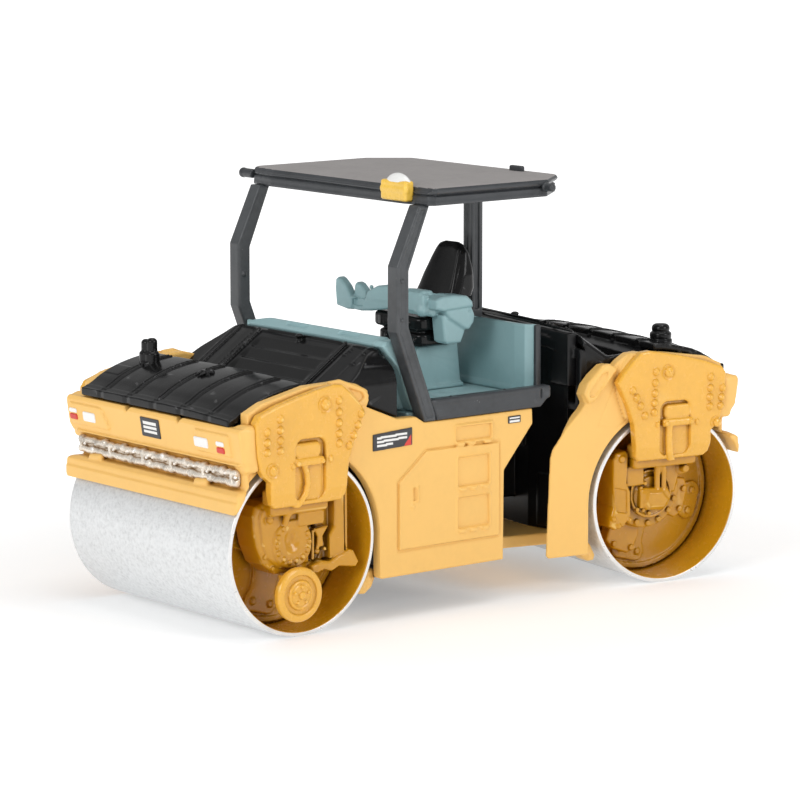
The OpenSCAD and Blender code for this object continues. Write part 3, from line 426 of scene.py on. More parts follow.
rb = [(-6.9, 23.0), (-6.75, 21.9), (-6.65, 20.85), (-5.2, 24.4), (-5.15, 23.1), (-5.1, 22.0), (-5.1, 20.9), (2.55, 25.6), (2.65, 24.3), (2.7, 23.05), (2.75, 21.9), (2.8, 20.8), (5.8, 23.6), (5.25, 22.7), (4.7, 21.7), (4.1, 20.5)]
FB = bracket_field(fb, [(2.05, 26.05, 0.62), (-5.2, 19.4, 0.55)], [(2.75, 19.9, 0.22), (-2.5, 19.6, 0.2)], (-1.95, 2.15, 15.55, 22.4),
    [(16.7, -0.75, 19.6), (16.75, -0.35, 18.6), (16.8, -0.25, 17.4), (16.75, -0.55, 16.3), (16.5, -1.2, 15.3), (16.1, -1.75, 14.5)], 0.36)
RB_ = bracket_field(rb, [(0.8, 25.45, 0.58), (-6.1, 18.9, 0.5)], [(-3.3, 19.2, 0.2), (2.3, 19.3, 0.2)], (-2.45, 1.75, 15.5, 21.9),
    [(16.7, 0.45, 19.2), (16.75, 0.5, 17.5), (16.8, 0.45, 16.0), (16.6, 0.15, 15.1), (16.2, -0.4, 14.5), (15.8, -0.6, 14.0)], 0.46)
for end, place, F, mr in (("front", FRONT, FB, False), ("rear", REND, RB_, True)):
    for side in ("right", "left"):
        mir = (side == "left") if end == "front" else (side == "right")
        shown = side == "right"
        piece(f"{end}_drum_bracket_{side}", F, (13.8, -7.6, 14.9), (17.8, 8.0, 28.3), 0.1 if shown else 0.15, place, end + "_frame", GOLD,
              mirror=mir, replaces=(f"{end}_bracket_{side}",), thin=0.45)

# ------------------------------------------------------------------ drum drives
def front_drive(G):
    X, Y, Z = G
    main = [(-5.9, 13.9), (-5.5, 15), (-4.4, 15.3), (4.0, 15.3), (4.0, 13.2), (2.4, 13.0), (2.4, 7.3), (1.5, 6.9), (-2.9, 7.1), (-4.5, 8.4), (-5.4, 10.4), (-5.85, 12.4)]
    d = EX(P2(main, Y, Z), X, 10.6, 14.25, 0.45)
    d = smin(d, EX(P2([(-5.2, 13.6), (-4.9, 14.6), (-3, 14.9), (1.6, 14.9), (1.6, 8), (-2.5, 7.8), (-4.0, 9.0), (-4.8, 10.6)], Y, Z), X, 12, 14.6, 0.3), 0.25)
    d = smin(d, EX(CC(-0.85, 10.4, 2.75, Y, Z), X, 12, 14.85, 0.2), 0.15)
    d = cut(d, BALL(G, 15.35, -0.95, 10.9, 1.0, 0.95, 1.25, 1.5), 0.25)
    d = smin(d, BALL(G, 14.1, -0.35, 11.25, 0.75, 0.9, 0.8, 1.2), 0.15)
    for y, z in ((-2.2, 12.3), (-2.9, 11.4), (-3.1, 10.45), (-2.9, 9.6), (-2.2, 8.85), (-1.35, 8.45), (-0.45, 8.5), (0.45, 8.85), (1.1, 9.55), (1.35, 10.45), (1.15, 11.4)):
        d = smin(d, ROD(G, 0, 14.6, 15.1, y, z, 0.3, 0.14), 0.06)
    d = cut(d, BALL(G, 15.0, -4.1, 13.45, 0.85, 0.7, 1.15, 0.75), 0.12)
    d = smin(d, BALL(G, 14.5, -3.85, 13.45, 0.48), 0.08)
    for y, z in ((-4.35, 9.3), (-3.3, 7.85)): d = smin(d, ROD(G, 0, 13.9, 14.55, y, z, 0.26, 0.12), 0.06)
    # upper plate beside the hose end, dark pocket, column with its slot
    d = smin(d, BX(G, 12, 15.15, -0.3, 3.4, 12.3, 14.85, 0.3), 0.2)
    d = smin(d, BX(G, 12, 13.7, 3.0, 6.4, 8, 15.3, 0.2), 0.2)
    col = EX(P2([(4.9, 15.3), (6.35, 15.3), (6.4, 11), (6.7, 9.1), (7.3, 8.4), (3.2, 8.0), (3.9, 9.4), (4.1, 10.6), (4.95, 11.8)], Y, Z), X, 11, 14.95, 0.3)
    d = smin(d, col, 0.12)
    d = smin(d, BX(G, 11, 14.7, 6.55, 6.95, 8.3, 15.9, 0.12), 0.05)
    d = cut(d, BX(G, 14.2, 16, 6.33, 6.55, 8.6, 15.2, 0.05), 0.04)
    # valve between ring and column
    d = cut(d, BX(G, 13.9, 16, 1.75, 4.25, 8.0, 12.1, 0.25), 0.1)
    d = smin(d, EX(P2([(2.25, 11.75), (4.3, 11.9), (3.45, 10.75), (3.6, 9.6), (2.6, 9.6), (2.75, 10.7)], Y, Z), X, 13, 14.75, 0.2), 0.1)
    d = smin(d, BX(G, 13, 14.6, 2.0, 2.35, 8.2, 11.6, 0.12), 0.08)
    d = smin(d, BALL(G, 14.15, 2.9, 9.1, 0.42), 0.1)
    for y, z in ((2.75, 9.55), (3.75, 9.3)): d = smin(d, ROD(G, 0, 14.0, 14.75, y, z, 0.22, 0.1), 0.06)
    # foot
    foot = [(1.5, 7.7), (3.0, 8.1), (4.2, 7.9), (5.2, 8.4), (6.9, 8.9), (7.35, 8.8), (8.15, 7.4), (7.7, 6.85), (5.4, 7.2), (4.3, 6.75), (3.3, 7.1), (2.4, 6.8), (1.5, 6.9)]
    d = smin(d, EX(P2(foot, Y, Z), X, 11, 15.3, 0.25), 0.12)
    d = smin(d, CAP(G, (15.05, 2.2, 7.6), (15.05, 3.7, 7.55), 0.28), 0.1)
    d = smin(d, CAP(G, (15.1, 5.0, 7.9), (15.1, 7.2, 7.6), 0.22), 0.1)
    # hose end
    d = smin(d, PIPE(G, [(15.3, -1.4, 14.9), (15.2, -1.75, 14.2), (15.0, -1.9, 13.5), (14.7, -1.9, 12.9)], 0.42), 0.12)
    d = smin(d, ROD(G, 0, 14.6, 15.2, -2.6, 15.05, 0.42, 0.15), 0.1)
    d = smin(d, BX(G, 11, 15.75, -4.5, 3.6, 13.9, 15.35, 0.5), 0.35)
    # the side steps of the yellow arm
    d = smin(d, BX(G, 10.6, 14.6, -2.6, 3.0, 14.4, 15.3, 0.25), 0.2)
    d = np.maximum(d, -(np.hypot(Y, Z - 10.15) - 1.0 + 10 * np.maximum(X - 13.2, 0)))
    return d
def rear_drive(G):
    X, Y, Z = G
    d = EX(CC(1.5, 11.0, 4.6, Y, Z), X, 11.0, 13.6, 0.25)
    d = smin(d, EX(P2([(-4.4, 15.3), (-4.2, 14.0), (-2.9, 12.2), (-2.4, 10.5), (6, 9), (6.4, 15.3)], Y, Z), X, 10.6, 13.9, 0.3), 0.3)
    d = smin(d, BX(G, 10.6, 15.75, -4.3, 4.6, 13.9, 15.4, 0.5), 0.35)
    for t in (200, 222, 246, 268, 291, 314):
        a = math.radians(t)
        d = smin(d, ROD(G, 0, 13.4, 14.05, 1.5 + 4.05 * math.cos(a), 11.0 + 4.05 * math.sin(a), 0.36, 0.16), 0.08)
    d = smin(d, EX(CC(1.1, 10.2, 2.5, Y, Z), X, 12, 14.2, 0.25), 0.2)
    d = smin(d, EX(np.abs(CC(1.3, 10.6, 2.75, Y, Z)) - 0.16, X, 13.2, 14.35, 0.1), 0.1)
    # motor with chamfered cap
    d = smin(d, EX(P2([(-0.9, 9.3), (-1.15, 10.4), (-0.7, 11.2), (2.5, 11.45), (2.95, 10.9), (2.9, 9.4), (2.3, 8.75), (0.1, 8.6)], Y, Z), X, 12, 15.2, 0.45), 0.2)
    d = smin(d, EX(P2([(-0.6, 9.9), (0.3, 10.9), (2.3, 11.0), (2.6, 9.9), (1.9, 9.1), (0, 9.0)], Y, Z), X, 14.6, 15.45, 0.3), 0.25)
    d = smin(d, BX(G, 13, 14.95, 2.5, 3.15, 9.0, 11.3, 0.15), 0.1)
    for y in (-0.15, 0.75): d = smin(d, CAP(G, (14.75, y, 11.2), (14.75, y, 13.2), 0.36), 0.12)
    d = smin(d, PIPE(G, [(14.75, -0.15, 13.2), (14.9, 0.1, 13.9), (15.2, 0.5, 14.5)], 0.42), 0.15)
    d = smin(d, PIPE(G, [(14.75, 0.75, 13.2), (14.9, 0.8, 14.0), (15.2, 0.9, 14.5)], 0.42), 0.15)
    # boss, upper left
    d = smin(d, ROD(G, 0, 13, 14.2, -3.2, 13.3, 0.85, 0.3), 0.15); d = smin(d, ROD(G, 0, 13, 15.1, -3.2, 13.3, 0.5, 0.2), 0.1)
    # plate, column, foot
    d = smin(d, BX(G, 12, 14.55, 2.4, 4.9, 11.7, 14.1, 0.25), 0.15)
    for y, z in ((2.25, 11.9), (2.85, 11.35), (2.45, 8.75), (1.65, 8.3), (3.35, 8.85)): d = smin(d, ROD(G, 0, 13.8, 14.7, y, z, 0.26, 0.12), 0.06)
    d = smin(d, EX(P2([(4.8, 15.7), (5.2, 16.1), (6.6, 15.9), (7.0, 15.2), (6.85, 9.6), (7.3, 8.3), (7.5, 7.2), (6.7, 6.7), (5.4, 7.0), (4.4, 8.4), (4.5, 11.2), (5.0, 12.2)], Y, Z), X, 11, 14.95, 0.4), 0.15)
    d = cut(d, EX(P2([(5.1, 11.4), (6.7, 11.8), (6.5, 8.9), (5.0, 8.6)], Y, Z), X, 14.7, 16, 0.1), 0.1)
    d = smin(d, ROD(G, 0, 14.6, 15.3, 5.9, 15.2, 0.42, 0.16), 0.08)
    for y, z in ((4.7, 7.8), (6.9, 8.1), (6.2, 7.2)): d = smin(d, BALL(G, 14.9, y, z, 0.34), 0.12)
    # plates that run to the drum lobes
    d = smin(d, EX(P2([(-4.9, 11.6), (-2.6, 12.0), (-1.2, 11), (-1.0, 8.2), (-3.4, 6.9), (-4.6, 7.6), (-5.3, 10.3)], Y, Z), X, 10.7, 12.4, 0.3), 0.3)
    for y, z in ((-4.55, 10.4), (-3.95, 8.0)): d = smin(d, ROD(G, 0, 12.2, 12.8, y, z, 0.36, 0.15), 0.08)
    d = smin(d, EX(P2([(1.6, 7.2), (1.7, 5.2), (2.6, 3.5), (3.3, 3.2), (5.5, 4.0), (6.3, 5.1), (5.6, 7.2)], Y, Z), X, 10.7, 12.4, 0.3), 0.3)
    for y, z in ((2.9, 3.95), (5.3, 4.6)): d = smin(d, ROD(G, 0, 12.2, 12.8, y, z, 0.36, 0.15), 0.08)
    d = np.maximum(d, -(np.hypot(Y, Z - 10.15) - 1.0 + 10 * np.maximum(X - 13.2, 0)))
    return d
for end, place, F in (("front", FRONT, front_drive), ("rear", REND, rear_drive)):
    for side in ("right", "left"):
        mir = (side == "left") if end == "front" else (side == "right")
        lo, hi = ((10.5, -6.1, 6.6), (15.8, 8.3, 16.0)) if end == "front" else ((10.5, -5.6, 3.0), (15.8, 7.8, 16.4))
        piece(f"{end}_drum_drive_{side}", F, lo, hi, 0.11 if side == "right" else 0.17, place, end + "_frame", DRIVE, mirror=mir,
              replaces=(f"{end}_drive_{side}",), thin=0.45)

# ------------------------------------------------------------------ edge wheel
def wheel_field(G):
    X, Y, Z = G; r = np.hypot(Y + 1.1, Z - 4.95)
    d = EX(r - 3.1, X, 15.55, 16.65, 0.42)
    d = cut(d, EX(np.abs(r - 1.95) - 0.28, X, 16.35, 17.5, 0.1), 0.15)
    d = smin(d, EX(r - 1.55, X, 16, 16.72, 0.12), 0.08)
    d = cut(d, EX(np.abs(r - 1.25) - 0.08, X, 16.6, 17.5, 0.02), 0.05)
    d = smin(d, ROD(G, 0, 16.2, 17.05, -1.1, 4.95, 0.42, 0.18), 0.12)
    for k in range(5):
        t = math.radians(72 * k + 18)
        d = smin(d, ROD(G, 0, 16.3, 16.98, -1.1 + 0.95 * math.cos(t), 4.95 + 0.95 * math.sin(t), 0.2, 0.09), 0.1)
    d = smin(d, EX(P2([(-2.6, 7.1), (0.5, 7.1), (0.1, 4), (-2.2, 4)], Y, Z), X, 14.3, 15.7, 0.15), 0.1)
    return d
piece("edge_wheel_cast", wheel_field, (14.2, -4.3, 1.7), (17.2, 2.2, 8.2), 0.1, FRONT, "front_frame", GOLD, replaces=("edge_wheel",), thin=0.45)

# ------------------------------------------------------------------ side panels
front_panel_pts = [[-7.65, 16], [-7.65, 25.7], [-5.5, 26.7], [0.6, 28], [5.6, 28.1], [7.6, 27.6], [9.1, 26.8], [9.3, 25.6],
  [8.95, 24.9], [13.4, 23.1], [16.1, 23.05], [17.3, 22.3], [33.4, 22.3], [33.5, 20.5], [29.2, 15.5], [29.1, 5], [11.1, 5], [10.8, 5.4]]
door_pts = [[13.4, 7.9], [13.4, 15.8], [17.5, 19.1], [28.4, 19.0], [28.5, 7.9]]
def arch(Y, Z): return np.minimum(CC(0, 10.15, 10.85, Y, Z), RR(-14, 10.85, -5, 10.15, Y, Z))
def panel_field(G):
    X, Y, Z = G
    o = np.maximum(P2(front_panel_pts, Y, Z), -arch(Y, Z))
    d = EX(o, X, 14.3, 15.7, 0.2)
    D = P2(door_pts, Y, Z)
    d = smin(d, EX(D + 0.12, X, 15.5, 15.82, 0.06), 0.05)
    d = smin(d, EX(np.abs(D + 0.2) - 0.1, X, 15.6, 15.9, 0.08), 0.05)
    d = cut(d, EX(np.abs(D) - 0.1, X, 15.55, 17, 0.03), 0.06)
    for a0, a1, b0, b1 in ((21.7, 27.2, 19.45, 21.4), (22.0, 26.9, 14.2, 17.85), (22.0, 26.9, 9.35, 13.2)):
        r = RR(a0, a1, b0, b1, Y, Z, 0.15)
        d = smin(d, EX(np.abs(r) - 0.17, X, 15.5, 15.93, 0.1), 0.06)
        d = cut(d, EX(r + 0.15, X, 15.6, 17, 0.05), 0.08)
        for k, c in enumerate((a0 + 0.75, a0 + 2.35, a1 - 0.75)):
            d = smin(d, BX(G, 15.4, 16.14, c - 0.55, c + 0.55, b0 - 0.42, b0 + 0.05, 0.2), 0.12)
    d = smin(d, BX(G, 15.5, 16.08, 16.05, 16.35, 13.3, 15.05, 0.12), 0.06)
    d = cut(d, BX(G, 15.62, 17, 15.6, 15.95, 13.4, 15.0, 0.1), 0.06)
    d = smin(d, BALL(G, 15.75, 15.45, 12.85, 0.3), 0.08)
    pad = P2([[3.4, 28.3], [5.0, 28.4], [8.4, 27.1], [9.0, 26.3], [8.8, 25.2], [6, 24.8], [3.4, 26]], Y, Z)
    d = smin(d, EX(pad, X, 15.3, 16.2, 0.35), 0.1)
    d = cut(d, EX(P2([[6.1, 27.3], [7.9, 26.65], [8.2, 26.1], [7.6, 25.7]], Y, Z) - 0.05, X, 15.85, 17, 0.1), 0.15)
    return d
for side in ("right", "left"):
    piece(f"front_side_cover_{side}", panel_field, (14.2, -7.8, 4.9), (16.3, 33.7, 28.5), 0.15 if side == "right" else 0.2, FRONT, "front_frame", YELLOW,
          mirror=side == "left", replaces=(f"front_side_panel_{side}",), thin=0.4)

rear_skirt_pts = [[-7.65, 16], [-7.65, 25.7], [-5.5, 26.7], [0.6, 27.6], [3.2, 27.7], [4.2, 27.9], [5.6, 27.8], [6.9, 27.0], [7.6, 26.35], [8.4, 26.75], [9.2, 26.7],
  [10.6, 25.6], [11.6, 24.5], [12, 23.4], [11.5, 22.3], [11.9, 21.7], [14.2, 19.4], [15.9, 17.2], [16.2, 16.2], [16.7, 4.7], [16.4, 4.4], [10.8, 4.4]]
def skirt_field(G):
    X, Y, Z = G
    o = np.maximum(P2(rear_skirt_pts, Y, Z), -arch(Y, Z))
    d = EX(o, X, 14.3, 15.7, 0.25)
    d = smax(d, 15.32 - X - np.maximum(14.6 - Y + np.maximum(19.5 - Z, 0) * 0.0, 0) * 0.55, 0.2)
    d = smin(d, EX(P2([[7.2, 26.2], [8.4, 26.85], [9.3, 26.75], [11.4, 24.8], [11.95, 23.5], [11.2, 22.3], [10.2, 22.7], [8.6, 24.5]], Y, Z), X, 15.2, 16.25, 0.4), 0.15)
    d = cut(d, EX(P2([[8.7, 25.9], [9.5, 25.6], [11.0, 23.9], [11.1, 23.2], [10.5, 23.2], [8.9, 24.8]], Y, Z) - 0.05, X, 16.0, 17, 0.08), 0.15)
    d = smin(d, EX(P2([[3.2, 27.8], [5.4, 27.85], [7.0, 25.8], [7.3, 23.8], [6.2, 20.2], [4.6, 19.9], [3.0, 21]], Y, Z), X, 15.3, 16.15, 0.3), 0.25)
    d = cut(d, EX(np.abs(P2([[7.0, 25.2], [7.3, 23.6], [6.2, 20.2], [5.7, 20.0], [7.2, 19.0], [9.6, 19.4]], Y, Z)) - 0.04, X, 15.62, 17, 0.02), 0.1)
    return d
for side in ("right", "left"):
    piece(f"rear_side_cover_{side}", skirt_field, (14.2, -7.8, 4.2), (16.4, 16.9, 28.1), 0.15 if side == "right" else 0.2, REND, "rear_frame", YELLOW,
          mirror=side == "right", replaces=(f"rear_skirt_{side}",), thin=0.4)

# ------------------------------------------------------------------ bumper mouldings with lamp plates, front and rear
def fascia_field(G, lamps=True):
    X, Y, Z = G
    prof = [[-9.85, 14.7], [-9.8, 16.1], [-9.6, 16.2], [-9.6, 16.9], [-9.1, 17.3], [-8.2, 17.4], [-8.2, 19.8], [-8.9, 20.2], [-9.5, 23.8],
            [-9.3, 24.25], [-8.5, 24.25], [-8.5, 23.9], [-7.65, 23.9], [-7.65, 14.7]]
    o = np.maximum(P2(prof, Y, Z), -CC(0, 10.15, 10.75, Y, Z))
    d = EX(o, X, -16.95, 16.75, 0.22)
    front = P2([[-16.95, 20.9], [-16.4, 20.3], [-15.4, 19.9], [-15.4, 17.4], [-16.6, 17.1], [-16.95, 16.5], [-16.95, 14.6], [16.75, 14.6], [16.75, 16.6], [16.2, 17.4], [15.9, 19.9], [16.75, 20.6], [16.75, 24.6], [-16.5, 24.6], [-16.95, 23.6]], X, Z)
    d = smax(d, np.maximum(front, -3.0), 0.35)
    d = smax(d, RR(-16.95, 16.75, -9.98, -4.0, X, Y, 1.0), 0.3)
    for s in (-1, 1):
        a, b = (-15.9, -8.6) if s < 0 else (8.2, 14.9)
        pl = P2([[a, 21.0], [b if s < 0 else b, 21.0], [b + (0.3 if s < 0 else 0), 21.3], [b - (0.9 if s < 0 else 0.1), 23.3], [b - (1.2 if s < 0 else 0.4), 23.45], [a + (0.0 if s < 0 else 0.3), 23.45]], X, Z)
        n = (Y + 9.2 + (Z - 22) * 0.167)
        d = smin(d, smax(pl, np.abs(n) - 0.28, 0.25), 0.1)
    for x in (-4.8, 5.1):
        c = np.maximum(np.abs(X - x) + np.abs(Z - 24.45) * 0.9 - 0.75, -1)
        d = smax(d, -np.maximum(c, Y + 8.3), 0.12)
    for s_ in (-1, 1): d = smin(d, BX(G, min(s_ * 14.4, s_ * 16.7), max(s_ * 14.4, s_ * 16.7), -8.6, -6.6, 19.3, 24.55, 0.55), 0.5)
    # step above the rails, knobs below them
    for x in (-11.5, 8.9):
        d = smin(d, CAP(G, (x - 0.8, -8.9, 17.45), (x + 0.9, -8.9, 17.6), 0.42), 0.15)
    d = smin(d, EX(np.maximum(np.abs(Y + 9.0) - 0.15, np.abs(Z - 20.25) - 0.12), X, -15.2, 16, 0.05), 0.15)
    return d
for end, place, body in (("front", FRONT, "front_frame"), ("rear", REND, "rear_frame")):
    piece(f"{end}_bumper", fascia_field, (-17.1, -10.0, 14.5), (16.9, -6.4, 24.8), 0.14 if end == "front" else 0.2, place, body, YELLOW,
          replaces=(f"{end}_fascia",), thin=0.4)

# ------------------------------------------------------------------ hoods
def curve(pts, n=8):
    """a smooth line through the points"""
    p = np.array(pts, float); p = np.vstack([2 * p[0] - p[1], p, 2 * p[-1] - p[-2]]); out = []
    for i in range(1, len(p) - 2):
        for t in np.linspace(0, 1, n, endpoint=False):
            out.append(0.5 * (2 * p[i] + (p[i + 1] - p[i - 1]) * t + (2 * p[i - 1] - 5 * p[i] + 4 * p[i + 1] - p[i + 2]) * t ** 2 + (3 * p[i] - 3 * p[i + 1] + p[i + 2] - p[i - 1]) * t ** 3))
    return np.array(out + [p[-2]])
hood_line = curve([[-9.15, 25.38], [-8.8, 25.42], [-7.6, 26.0], [-6.4, 26.7], [-4.2, 27.6], [-2.1, 28.14], [-0.4, 28.42], [0.9, 28.5], [2.35, 28.5]])
def hood_field(hole):
    hx, hy, hr = hole
    def f(G):
        X, Y, Z = G
        zt = np.interp(Y, hood_line[:, 0], hood_line[:, 1])
        slope = np.interp(Y, hood_line[:, 0], np.gradient(hood_line[:, 1], hood_line[:, 0]))
        k = (X + 10.3) / 5.15
        u = np.abs(k - np.round(k)) * 2                      # 0 on a ridge, 1 mid strip
        ax = np.abs(X)
        zt = zt - np.where(X > 0, 0.42, 0.05) * np.clip(ax / 14, 0, 1.1) ** 2.2
        edge = np.where(ax > 12.9, 1.0, u)
        crown = 0.10 * (1 - (1 - edge) ** 3) - 0.10
        fall = np.maximum(ax - 13.9, 0) ** 2 * 0.6
        top = (Z - (zt + crown - fall)) / np.sqrt(1 + np.minimum(slope, 2.5) ** 2)
        d = smax(top, -(top + 0.75), 0.1)
        # upright front lip, slightly scalloped under every ridge
        lip = np.maximum(np.maximum(-9.15 - Y, Y + 8.3), np.maximum(Z - zt - 0.02, 24.45 - Z))
        d = smin(d, lip, 0.1)
        end = 2.35 + 1.75 * np.clip((ax - 30) / 10, 0, 1)
        d = smax(d, np.maximum(-9.15 - Y + 0.10 * np.clip(1 - u * 3.5, 0, 1), Y - 1.0 + 0.45 * np.clip(1 - u * 4, 0, 1)), 0.12)
        d = smax(d, ax - 14.15, 0.2)
        # the step down behind the strips
        d = smin(d, np.maximum(np.maximum(np.abs(Z - (27.3 - 0.35 * (Y - 1) - 0.42 * np.clip(ax / 14, 0, 1.1) ** 2.2)) - 0.4, ax - 14.1), np.maximum(0.4 - Y, Y - 2.5)), 0.15)
        for x0 in (-10.3, -5.15, 0, 5.15, 10.3):
            for q in (-0.27, 0.27):
                line = np.hypot(X - x0 - q, (Z - zt + 0.02) * 0.85)
                d = smin(d, np.maximum(np.maximum(line - 0.155, -8.75 - Y), Y - 0.75), 0.06)
        # hinge plate near the exhaust
        d = smin(d, np.maximum(BX(G, -13.9, -11.0, -6.1, -4.3, 26, 28.4, 0.1), np.abs(top - 0.0) - 0.08), 0.05)
        for y in (-5.9, -5.2, -4.5): d = smin(d, BALL(G, -12.4, y, 26.62 + (y + 6.4) * 0.42 - 0.22, 0.2), 0.08)
        d = cut(d, ROD(G, 2, 26.2, 30, hx, hy, hr, 0.02), 0.03)
        return d
    return f
for end, place, hole in (("front", FRONT, (-10.1, -2.4, 1.02)), ("rear", REND, (-10.2, -2.6, 1.42))):
    piece(f"{end}_hood_skin", hood_field(hole), (-14.3, -9.25, 24.3), (14.3, 2.6, 28.9), 0.105 if end == "front" else 0.14, place, end + "_frame", GLOSSB,
          replaces=(f"{end}_hood",), thin=0.55)
def latch(G):
    G = (G[0], G[1], G[2] - 0.42)
    d = BX(G, 0.4, 1.8, -2.9, -1.75, 27.2, 28.02, 0.15)
    for x in (0.65, 1.35): d = smin(d, CAP(G, (x, -3.4, 27.62), (x, -2.8, 27.8), 0.16), 0.08)
    d = smin(d, CAP(G, (0.2, -2.3, 27.8), (2.0, -2.3, 27.8), 0.18), 0.1)
    d = smin(d, BALL(G, 1.1, -2.3, 28.0, 0.3), 0.1)
    return d
piece("hood_latch_cast", latch, (-0.1, -3.7, 27.5), (2.3, -1.5, 28.9), 0.07, FRONT, "front_frame", GLOSSB, replaces=("hood_latch",), thin=0)
def stub(x, y, prof):
    def f(G):
        r = np.hypot(G[0] - x, G[1] - y); d = None
        for a, b, rad, e in prof:
            c = EX(r - rad, G[2], a, b, e); d = c if d is None else smin(d, c, 0.12)
        return d
    return f
def exhaust(G):
    X, Y, Z = G; d = None
    for x, y, up in ((-10.55, -2.45, 0.0), (-9.75, -2.25, 0.18)):
        r = np.hypot(X - x, Y - y)
        c = EX(r - 0.62, Z, 28.0, 30.55 + up, 0.30)
        c = smin(c, EX(r - 0.86, Z, 26.9, 29.3, 0.3), 0.12)
        c = smin(c, EX(r - 0.5, Z, 30.2, 30.68 + up, 0.28), 0.1)
        d = c if d is None else smin(d, c, 0.1)
    return smin(d, ROD(G, 2, 26.9, 28.15, -10.1, -2.4, 1.0, 0.2), 0.1)
piece("exhaust_cap", exhaust, (-11.7, -3.6, 26.8), (-8.6, -1.1, 31.0), 0.075, FRONT, "front_frame", GLOSSB, replaces=("exhaust_stub",), thin=0)
piece("filler_cap_cast", stub(-10.2, -2.6, [(26.9, 28.4, 1.40, 0.3), (28.3, 29.2, 1.30, 0.3), (29.0, 30.15, 1.08, 0.55)]), (-11.8, -4.2, 26.8), (-8.6, -1.0, 30.4), 0.09, REND, "rear_frame", GLOSSB, replaces=("filler_cap",), thin=0)

# ------------------------------------------------------------------ cowls
def cowl_line(Y):
    z = 28.1 + (Y - 7.7) * 0.68
    z = np.maximum(z, 26.0 + 0.0 * z)
    return 30.98 - np.log1p(np.exp((30.98 - z) * 6)) / 6
def cowl_top(X, Y):
    zt = cowl_line(Y) - np.maximum(np.abs(X) - 9.9, 0) * 0.05
    # four wide soft louvres between the rails
    t = (Y - 5.0) / 1.62
    w = t % 1.0
    wave = 0.34 * np.where(w < 0.7, w / 0.7, (1 - w) / 0.3)
    band = np.clip((Y - 5.0) * 2, 0, 1) * np.clip((11.2 - Y) * 2, 0, 1) * np.clip((7.35 - np.abs(X - 0.5)) * 1.3, 0, 1)
    return zt + (wave - 0.34) * band
def cowl_field(back, wide):
    def f(G):
        X, Y, Z = G
        ax = np.abs(X)
        zt = cowl_top(X, Y) - np.maximum(ax - 12.9, 0) ** 1.5 * 0.30
        top = (Z - zt) * 0.83
        d = smax(top, -(top + 0.8), 0.1)
        d = smax(d, np.maximum(2.4 - Y, Y - back), 0.15)
        d = smax(d, ax - wide, 0.4)
        base = (Z - cowl_line(Y)) * 0.83
        for x0, lift, r, k in ((-7.7, 0.20, 0.20, 0.07), (8.55, 0.24, 0.24, 0.08), (9.5, 0.06, 0.13, 0.06), (-8.6, 0.04, 0.10, 0.06), (-11.6, 0.06, 0.14, 0.06), (-12.3, -0.02, 0.12, 0.06), (12.1, 0.03, 0.12, 0.06)):
            line = np.hypot(X - x0, base - lift) - r
            d = smin(d, smax(np.maximum(line, 4.2 - Y), Y - 11.7, 0.1), k)
        # seam and catch below the top edge
        d = smin(d, np.maximum(np.hypot(Y - 11.95, Z - 31.0) - 0.13, np.abs(X - 0.4) - 6.9), 0.05)
        d = smin(d, np.maximum(np.hypot(X - 0.4, Y - 11.25) - 0.42 + (Z - 30.0) * 0.12, np.maximum(Z - 31.15, 30.0 - Z)), 0.1)
        d = smin(d, BALL(G, 0.4, 11.25, 31.05, 0.5, 1, 1, 0.5), 0.08)
        for x, y in ((10.1, 11.0), (9.9, 10.4), (-7.7, 11.3), (-7.7, 10.2), (-8.2, 8.9), (-8.5, 8.4), (12.6, 10.9), (12.6, 9.4), (11.9, 8.0)):
            d = smin(d, BALL(G, x, y, 28.12 + (y - 7.7) * 0.68, 0.19), 0.06)
        return d
    return f
def shell_front(G):
    X, Y, Z = G
    ax = np.abs(X)
    d = cowl_field(12.75, 13.4)(G)
    # the sloped side of the cowl: one continuous surface down to the panel
    cheek = P2([[2.6, 25.0], [2.6, 27.2], [6.2, 27.6], [7.4, 28.3], [9.2, 29.3], [11.6, 30.9], [12.3, 31.0], [12.95, 30.9], [14.1, 28.0], [15.8, 24], [16, 23.2], [13.6, 23.2], [9.3, 24.95], [9.45, 25.7], [9.2, 26.6], [6.0, 26.2], [6.0, 25.0]], Y, Z)
    body = smax(cheek, (Z - cowl_line(Y)) * 0.83, 0.25)
    body = smax(body, smax((ax - 12.5 - 0.93 * (31 - Z)) * 0.73, ax - 15.3, 0.8), 0.3)
    body = smax(body, 12.0 - ax, 0.2)
    return smin(d, body, 0.2)
piece("front_cowl_skin", shell_front, (-15.45, 2.3, 23.1), (15.4, 13.6, 31.6), 0.135, FRONT, "front_frame", GLOSSB, replaces=("front_cowl",), thin=0.5)
def shell_rear(G):
    X, Y, Z = G
    d = cowl_field(11.9, 14.15)(G)
    side = EX(P2([[2.5, 24.5], [2.5, 27.6], [7.6, 27.4], [10.6, 29.4], [10.6, 24.5]], Y, Z), np.abs(X), 13.3, 14.15, 0.2)
    d = smin(d, side, 0.2)
    return np.maximum(d, -np.maximum(10.85 - Y, Z - 30.44))
piece("rear_cowl_skin", shell_rear, (-14.3, 2.3, 24.4), (14.3, 12.7, 31.6), 0.15, REND, "rear_frame", GLOSSB, replaces=("rear_cowl",), thin=0.5)

